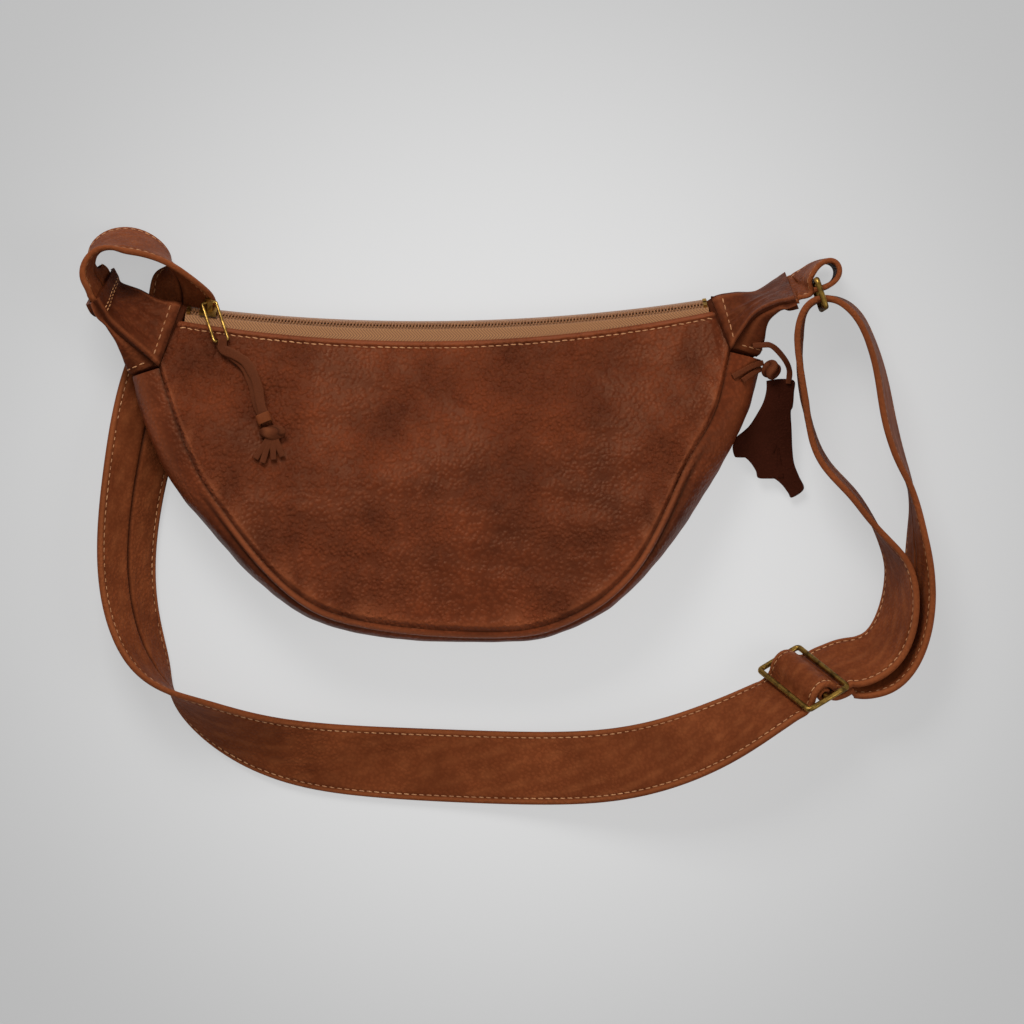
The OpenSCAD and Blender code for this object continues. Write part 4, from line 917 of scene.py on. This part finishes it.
for (word, part), skin in cap_skins.items():
    rings, marks = strip_rings(seam_turning(*skin), 3, turning_w, 0.02, 101)
    # Painted shade: the turned allowance lies behind the patch and is drawn darker all over.
    marks["crease_shade"] = marks["crease_shade"] + 0.55
    finish_piece(tube(f"cap_{word}_{part}_turning", rings, marks), "bag", cap_leather, "leather")


# The pull's low bar and the lace's way over the panel
zip_a = [math.asin((s * lay_x - zip_c[0]) / zip_r) for s in (-0.328, 0.197)]
slider_a = math.asin((-0.306 * lay_x - zip_c[0]) / zip_r)


def turn_z(v, a):
    """A vector turned about z."""
    return np.array([v[0] * np.cos(a) - v[1] * np.sin(a), v[0] * np.sin(a) + v[1] * np.cos(a), v[2]])


def tip_y(v, a):
    """A vector tipped about y."""
    return np.array([v[0] * np.cos(a) + v[2] * np.sin(a), v[1], -v[0] * np.sin(a) + v[2] * np.cos(a)])


def by_slider(v):
    """A direction in the slider's attitude."""
    return turn_z(tip_y(turn_z(v, np.radians(28)), -np.radians(zip_tilt)), slider_a - np.pi / 2)


slider_at = np.array([zip_c[0], zip_c[1], zip_z]) + turn_z([zip_r, 0, 0], slider_a - np.pi / 2)
plate_z = 0.05 + 1.5 + 0.35
bail_rise = plate_z + 1 + 4.3
pull_drop = np.radians(30)
pull_l, pull_wire_d = 23, 1.6
pull_bar_at = slider_at + by_slider([pull_l * np.cos(pull_drop), 0, bail_rise - pull_l * np.sin(pull_drop)])
pull_bar_dir = by_slider([0, 1, 0])
lace_w, lace_t, lace_lie, strand_step, tail_w = 5.0, 1.6, 0.5, 1.9, 3.2
lace_shares = np.array([[-0.2895, 0.163, 1.2], [-0.280, 0.156, 1.6], [-0.269, 0.147, 2], [-0.262, 0.134, 2.1],
    [-0.258, 0.122, 1.9], [-0.255, 0.109, 1.7], [-0.250, 0.097, 1.7], [-0.245, 0.088, 1.7]])


def lace_places(strand):
    """One strand of the lace over the panel; the second lies on the first and bows out beside it."""
    flat = lace_shares[:, :2] * [lay_x, lay_y]
    side = sideways(heading(flat))
    z = front_height(flat) + lace_lie + lace_t * lace_shares[:, 2] + strand * strand_step
    apart = strand * 2.4 * np.sin(np.pi * np.arange(len(flat)) / (len(flat) - 1))
    flat = flat + side[:, :2] * apart[:, None]
    return np.column_stack([flat, z, side, np.full(len(flat), lace_t)])


fold_ahead = unit(np.cross(pull_bar_dir, up))
fold_up = np.cross(fold_ahead, pull_bar_dir)
fold_r = (pull_wire_d + lace_t) / 2 + bar_gap
fold = np.array([np.concatenate([pull_bar_at + (fold_ahead * np.cos(a) + fold_up * np.sin(a)) * fold_r,
    pull_bar_dir, [lace_t]]) for a in np.radians([-90, -126, -162, -198, -234, -270])])
lace_route = np.vstack([lace_places(0)[::-1], fold, lace_places(1)])
cut_strip("pull_lace_leather", "lace", lace_route, 8, lace_w, 0.05, 71, "pull_lace")


def keeper_band():
    """The keeper: a rounded oblong band of leather round both strands, its section carried round the oblong."""
    flat = np.array([-0.2475, 0.0925]) * [lay_x, lay_y]
    mid = np.append(flat, front_height(flat) + lace_lie + 1.7 * lace_t + strand_step / 2)
    turn, tip = np.radians(-67), np.radians(-16)
    ahead = turn_z(tip_y([1, 0, 0], tip), turn)
    side = turn_z([0, 1, 0], turn)
    rise = turn_z(tip_y([0, 0, 1], tip), turn)
    a, b = circle(72), circle(20)
    oblong = np.stack([blunt(np.cos(a), 0.5), blunt(np.sin(a), 0.5)], -1)
    half_long, half_thick, hole_w, hole_h = 2.65, 0.6, 2.8, 2.05
    long, thick = blunt(np.cos(b), 0.45) * half_long, blunt(np.sin(b), 0.7) * half_thick
    grow_w, grow_h = hole_w + half_thick + thick, hole_h + half_thick + thick
    rings = (mid + ahead * long[None, :, None] + side * (oblong[:, :1] * grow_w[None])[..., None]
        + rise * (oblong[:, 1:] * grow_h[None])[..., None])
    n, m = rings.shape[:2]
    faces = quad_sheet(n + 1, m, wrap=True) % (n * m)
    wear = np.clip(0.4 * np.abs(long / half_long) ** 6, 0, 1)[None].repeat(n, 0)
    return make_mesh("pull_keeper_leather", rings.reshape(-1, 3), [faces], {"wear": wear, "crease_shade": wear * 0})


finish_piece(keeper_band(), "lace", keeper_leather, "leather_tan", "pull_keeper")


def plump(name, mid, axes, turns):
    """A knot: a rounded body whose surface rises in wound strands, cords of the lace going round its long
    axis at a slant."""
    u, v = np.linspace(0.0, np.pi, 60), circle(80)
    su, cu = np.sin(u)[:, None], np.cos(u)[:, None]
    strands = np.abs(np.sin(turns * u[:, None] + v[None] + 0.6 * np.sin(2 * v[None])))
    grow = 1 + 0.3 * (strands - 0.6) * su
    local = np.stack(np.broadcast_arrays(cu, su * np.cos(v)[None], su * np.sin(v)[None]), -1) * grow[..., None]
    rings = mid + local @ axes
    # Paler wear on the tops of the strands, and painted shade in the grooves between them.
    marks = {"wear": 0.5 * strands ** 6 * su, "crease_shade": 0.9 * (1 - strands) ** 4 * su}
    return tube(name, rings[1:-1], {mark: share[1:-1] for mark, share in marks.items()})


knot_lift = 3.4
knot_mid = np.array([-0.239 * lay_x, 0.0792 * lay_y, 0])
knot_mid[2] = front_height(knot_mid[:2]) + knot_lift + lace_lie
knot = plump("pull_knot_leather", knot_mid, np.array([[7.0, 0.2, 0], [0, 3.5, 0.3], [0, -0.2, 3.3]]), 1.6)
finish_piece(knot, "lace", lace_leather, "leather_strap", "pull_knot")
for k, tip in enumerate(((-0.256, 0.053), (-0.249, 0.049), (-0.238, 0.052), (-0.229, 0.055))):
    a, b = np.array([[-0.239, 0.080], tip]) * [lay_x, lay_y]
    side = np.append(unit(np.array([a[1] - b[1], b[0] - a[0]])), 0)
    route = np.array([[*q, front_height(q) + lift, *side, lace_t] for q, lift in
        ((a, knot_lift), ((a + b) / 2, 2.7), (b, lace_lie + lace_t))])
    cut_strip(f"pull_tail_{k + 1}", "lace", route, 9, tail_w, 0.08, 83 + k)


# ---------------------------------------------------------------- tag
tag_shares = [[0.256, 0.132], [0.256, 0.122], [0.253, 0.110], [0.248, 0.100], [0.240, 0.087], [0.233, 0.080],
    [0.226, 0.074], [0.2225, 0.064], [0.225, 0.054], [0.2295, 0.055], [0.234, 0.054], [0.240, 0.049],
    [0.246, 0.040], [0.248, 0.033], [0.253, 0.032], [0.258, 0.034], [0.266, 0.031], [0.273, 0.025], [0.279, 0.017],
    [0.283, 0.012], [0.295, 0.021], [0.290, 0.034], [0.285, 0.047], [0.283, 0.062], [0.282, 0.082], [0.281, 0.100],
    [0.283, 0.106], [0.284, 0.120], [0.284, 0.132], [0.270, 0.134]]
tag_top, tag_rise, tag_slope = 0.134 * lay_y, 17.0, np.radians(12)


def hide_tag():
    """The tag: its cut outline shrunk in rings towards a spine, on both faces, with a rounded cut edge and a
    slight curl, then sloped as it hangs from its thong."""
    line = along(tag_shares + tag_shares[:1], np.linspace(0, 1, 30 * 6, endpoint=False)) * [lay_x, lay_y]
    spine_y = np.clip(line[:, 1], 0.03 * lay_y, 0.125 * lay_y)
    spine_x = np.interp(spine_y, np.array([0.03, 0.055, 0.08, 0.10, 0.125]) * lay_y,
        np.array([0.276, 0.262, 0.262, 0.265, 0.270]) * lay_x)
    spine = np.stack([spine_x, spine_y], -1)
    share = np.array([1, 0.975, 0.94, 0.88, 0.8, 0.65, 0.5, 0.35, 0.2, 0.08, 0.0])
    round_off, half_t = np.array([0, 0.62, 0.9, 1, 1, 1, 1, 1, 1, 1, 1]), 0.8
    flat = mix(spine[None], line[None], share[:, None, None])
    curl = 0.8 * ripple(flat, 40, 91) + 0.25 * ripple(flat, 12, 92)
    face, back = (raised(flat, half_t + way * half_t * round_off[:, None] + curl * 0.5) for way in (1, -1))
    rings = np.concatenate([face[::-1], back[1:]], 0)
    y = rings[..., 1] - tag_top
    c, s = np.cos(tag_slope), np.sin(tag_slope)
    x, z = rings[..., 0], rings[..., 2]
    placed = np.stack([x, tag_top + y * c - z * s, tag_rise + y * s + z * c], -1)
    rim = np.concatenate([hump(1 - share[::-1], 0.05), hump(1 - share[1:], 0.05)])[:, None]
    wear = np.broadcast_to(0.5 * rim, placed.shape[:2])
    return tube("tag_leather", placed, {"wear": wear, "crease_shade": wear * 0})


finish_piece(hide_tag(), "tag", tag_leather, "leather_dark", "tag")


def thong_places(shares):
    """Places of a thong: shares of the lay, with a height as a share of the cap's depth."""
    p = np.asarray(shares, float) * [lay_x, lay_y, cap_d]
    return np.column_stack([p, sideways(heading(p)), np.full(len(p), thong_t)])


thong_w, thong_t = 3.0, 1.4
# The thong comes out of the cap's seam along the line that it swings about; its two tails lie on the gusset
thongs = (
    [[0.2416, 0.1665, 0.600], [0.250, 0.167, 0.604], [0.2585, 0.167, 0.614], [0.266, 0.162, 0.591],
        [0.275, 0.151, 0.545], [0.279, 0.141, 0.466], [0.278, 0.129, 0.432]],
    [[0.252, 0.1495, 0.5], [0.240, 0.1455, 0.625], [0.221, 0.135, 0.727]],
    [[0.2505, 0.1435, 0.489], [0.242, 0.139, 0.602], [0.231, 0.131, 0.705]])
for k, shares in enumerate(thongs):
    cut_strip(f"tag_thong_{k + 1}", "tag", thong_places(shares), 9, thong_w, 0.06, 95 + k,
        *(["tag_thong"] if k == 0 else []))
knot_at = np.array([0.2605 * lay_x, 0.1425 * lay_y, 22])
finish_piece(plump("tag_knot_leather", knot_at, np.array([[3.9, -3.0, 0], [3.0, 3.9, 0], [0, 0, 4.6]]), 2.2),
    "tag", lace_leather, "leather_strap", "tag_knot")


# ---------------------------------------------------------------- zip
def zip_tape(front):
    """A woven tape: its bent section swept round the zip's centre, with the run and the width as its own
    map for the weave."""
    flat = 2.6 + zip_gap
    way, bend, reach = (1, 11, lip_gap - flat + 3) if front else (-1, 80, 5.5)
    near, far = (way * np.array([np.cos(np.radians(a)), np.sin(np.radians(a))]) for a in (zip_tilt, bend))
    line = [near * zip_gap / 2, near * flat, near * flat + far * reach]
    steps = np.concatenate([np.linspace(0, 1, 8)[:-1], np.linspace(1, 2, 12)])
    prof = np.array([np.interp(steps, [0, 1, 2], [q[k] for q in line]) for k in (0, 1)]).T
    d = np.gradient(prof, axis=0)
    normal = unit(np.stack([-d[:, 1], d[:, 0]], -1)) * way
    a = np.linspace(zip_a[0], zip_a[1], 260)

    def sweep(q):
        r = zip_r + q[:, 0]
        return np.stack([zip_c[0] + r[None] * np.sin(a)[:, None], zip_c[1] - r[None] * np.cos(a)[:, None],
            np.broadcast_to(zip_z + q[:, 1], (len(a), len(q)))], -1)

    uv = np.stack(np.broadcast_arrays((a * zip_r)[:, None], run_length(prof)[None]), -1)
    return sweep(prof), sweep(prof - normal * tape_t), uv


for word, front in (("front", True), ("back", False)):
    face, reverse, uv = zip_tape(front)
    finish_piece(shell(f"zip_tape_{word}_woven", face, reverse, uv=uv), "bag", zip_cloth, "zip_tape",
        f"zip_tape_{word}")


def zip_coil(name, side):
    """One half of the zip's coil: plump loops laid across the zip, each a long round body whose girth falls
    to its ends, reaching a little past the middle between those of the other half. Their pitch is coarser
    than a real coil's, so that they show."""
    pitch, loop_mid, loop_half, lift, wire_w, wire_h = 1.75, 1.2, 1.5, 0.8, 0.43, 0.66
    count = int((zip_a[1] - zip_a[0]) * zip_r / pitch) - 3
    a = zip_a[0] + (np.arange(count) + (2.0 if side > 0 else 2.5)) * pitch / zip_r
    tilt = np.radians(zip_tilt)
    out = np.stack([np.sin(a), -np.cos(a), a * 0], -1)
    run = np.stack([np.cos(a), np.sin(a), a * 0], -1)
    across, rise = out * np.cos(tilt) + up * np.sin(tilt), -out * np.sin(tilt) + up * np.cos(tilt)
    base = np.append(zip_c, zip_z) + out * zip_r
    share = np.array([-1, -0.88, -0.55, 0, 0.55, 0.88, 1])
    girth = np.array([0.4, 0.8, 1, 1, 1, 0.8, 0.4])[:, None]
    c, length = np.arange(8) * np.pi / 4, side * (loop_mid + share * loop_half)
    base, across, run, rise = (q[:, None, None] for q in (base, across, run, rise))
    body = (base + across * length[:, None, None] + run * (wire_w * girth * np.cos(c))[..., None] * side
        + rise * (lift + wire_h * girth * np.sin(c))[..., None])
    return row_of_bodies(name, body, [[0, 1, 2, 3], [0, 3, 4, 7], [4, 5, 6, 7]], 60)


for word, side in (("front", 1), ("back", -1)):
    finish_piece(zip_coil(f"zip_teeth_{word}_coil", side), "bag", teeth, "zip_teeth", f"zip_teeth_{word}")

for node, material in (("zip_stops", brass), ("zip_slider", brass), ("zip_pull", brass), ("ring", frame_brass),
        ("adjuster_frame", frame_brass), ("adjuster_bar", frame_brass)):
    dress(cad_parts[node], material)


# ---------------------------------------------------------------- table and light
def pale_table():
    """The table: a broad sheet of matt paper with a painted pool of light, white in the middle and greyer
    outwards. To the camera a part of its tone is a painted glow of the paper itself, so that the shadow on it stays
    pale."""
    mesh = bpy.data.meshes.new("paper_floor")
    r, z, glow_share = 3.0, -0.0004, 0.72
    mesh.from_pydata([(-r, -r, z), (r, -r, z), (r, r, z), (-r, r, z)], [], [(0, 1, 2, 3)])
    floor = bpy.data.objects.new("paper_floor", mesh)
    bpy.context.scene.collection.objects.link(floor)
    material, tree, place = new_material("paper_matt_white")
    # Painted pool of light: the tone goes from white in the middle to grey outwards.
    far = add(tree, "VectorMath", [place], operation="LENGTH")
    light_falloff = add(tree, "MapRange", [far, 0.08, 0.40], interpolation_type="SMOOTHSTEP")
    paper_tone_and_falloff = add(tree, "Mix", {0: light_falloff, 6: linear("#e6e6e6"), 7: linear("#c0c0c0")}, data_type="RGBA")
    paper = add(tree, "BsdfPrincipled", {"Base Color": paper_tone_and_falloff, "Roughness": 0.9})
    # Painted glow: for camera rays 0.72 of the tone is emission, so that the shadow stays pale.
    glow_tone = add(tree, "Mix", {0: light_falloff, 6: linear("#e0e0e0"), 7: linear("#bebebe")}, data_type="RGBA")
    glow = add(tree, "Emission", {"Color": glow_tone})
    seen = add(tree, "LightPath").outputs["Is Camera Ray"]
    share = add(tree, "Math", [seen, glow_share], operation="MULTIPLY")
    mixed = add(tree, "MixShader", [share, paper, glow])
    add(tree, "OutputMaterial", {"Surface": mixed})
    dress(floor, material)


def lamp(name, place, size, power):
    """A square soft box aimed at the middle of the bag."""
    data = bpy.data.lights.new(name, "AREA")
    data.size, data.energy = size, power
    light = bpy.data.objects.new(name, data)
    light.location = place
    light.rotation_euler = (-Vector(place)).to_track_quat("-Z", "Y").to_euler()
    bpy.context.scene.collection.objects.link(light)


pale_table()
lamp("top_softbox", (-0.45, 1.30, 1.45), 0.8, 24)
lamp("side_fill", (1.2, -0.3, 1.3), 0.9, 6)
world = bpy.data.worlds.new("soft_room")
bpy.context.scene.world = world
world.use_nodes = True
sky = world.node_tree.nodes["Background"].inputs
sky["Color"].default_value, sky["Strength"].default_value = (1, 1, 1, 1), 0.34
bpy.context.scene.view_settings.view_transform = "Standard"
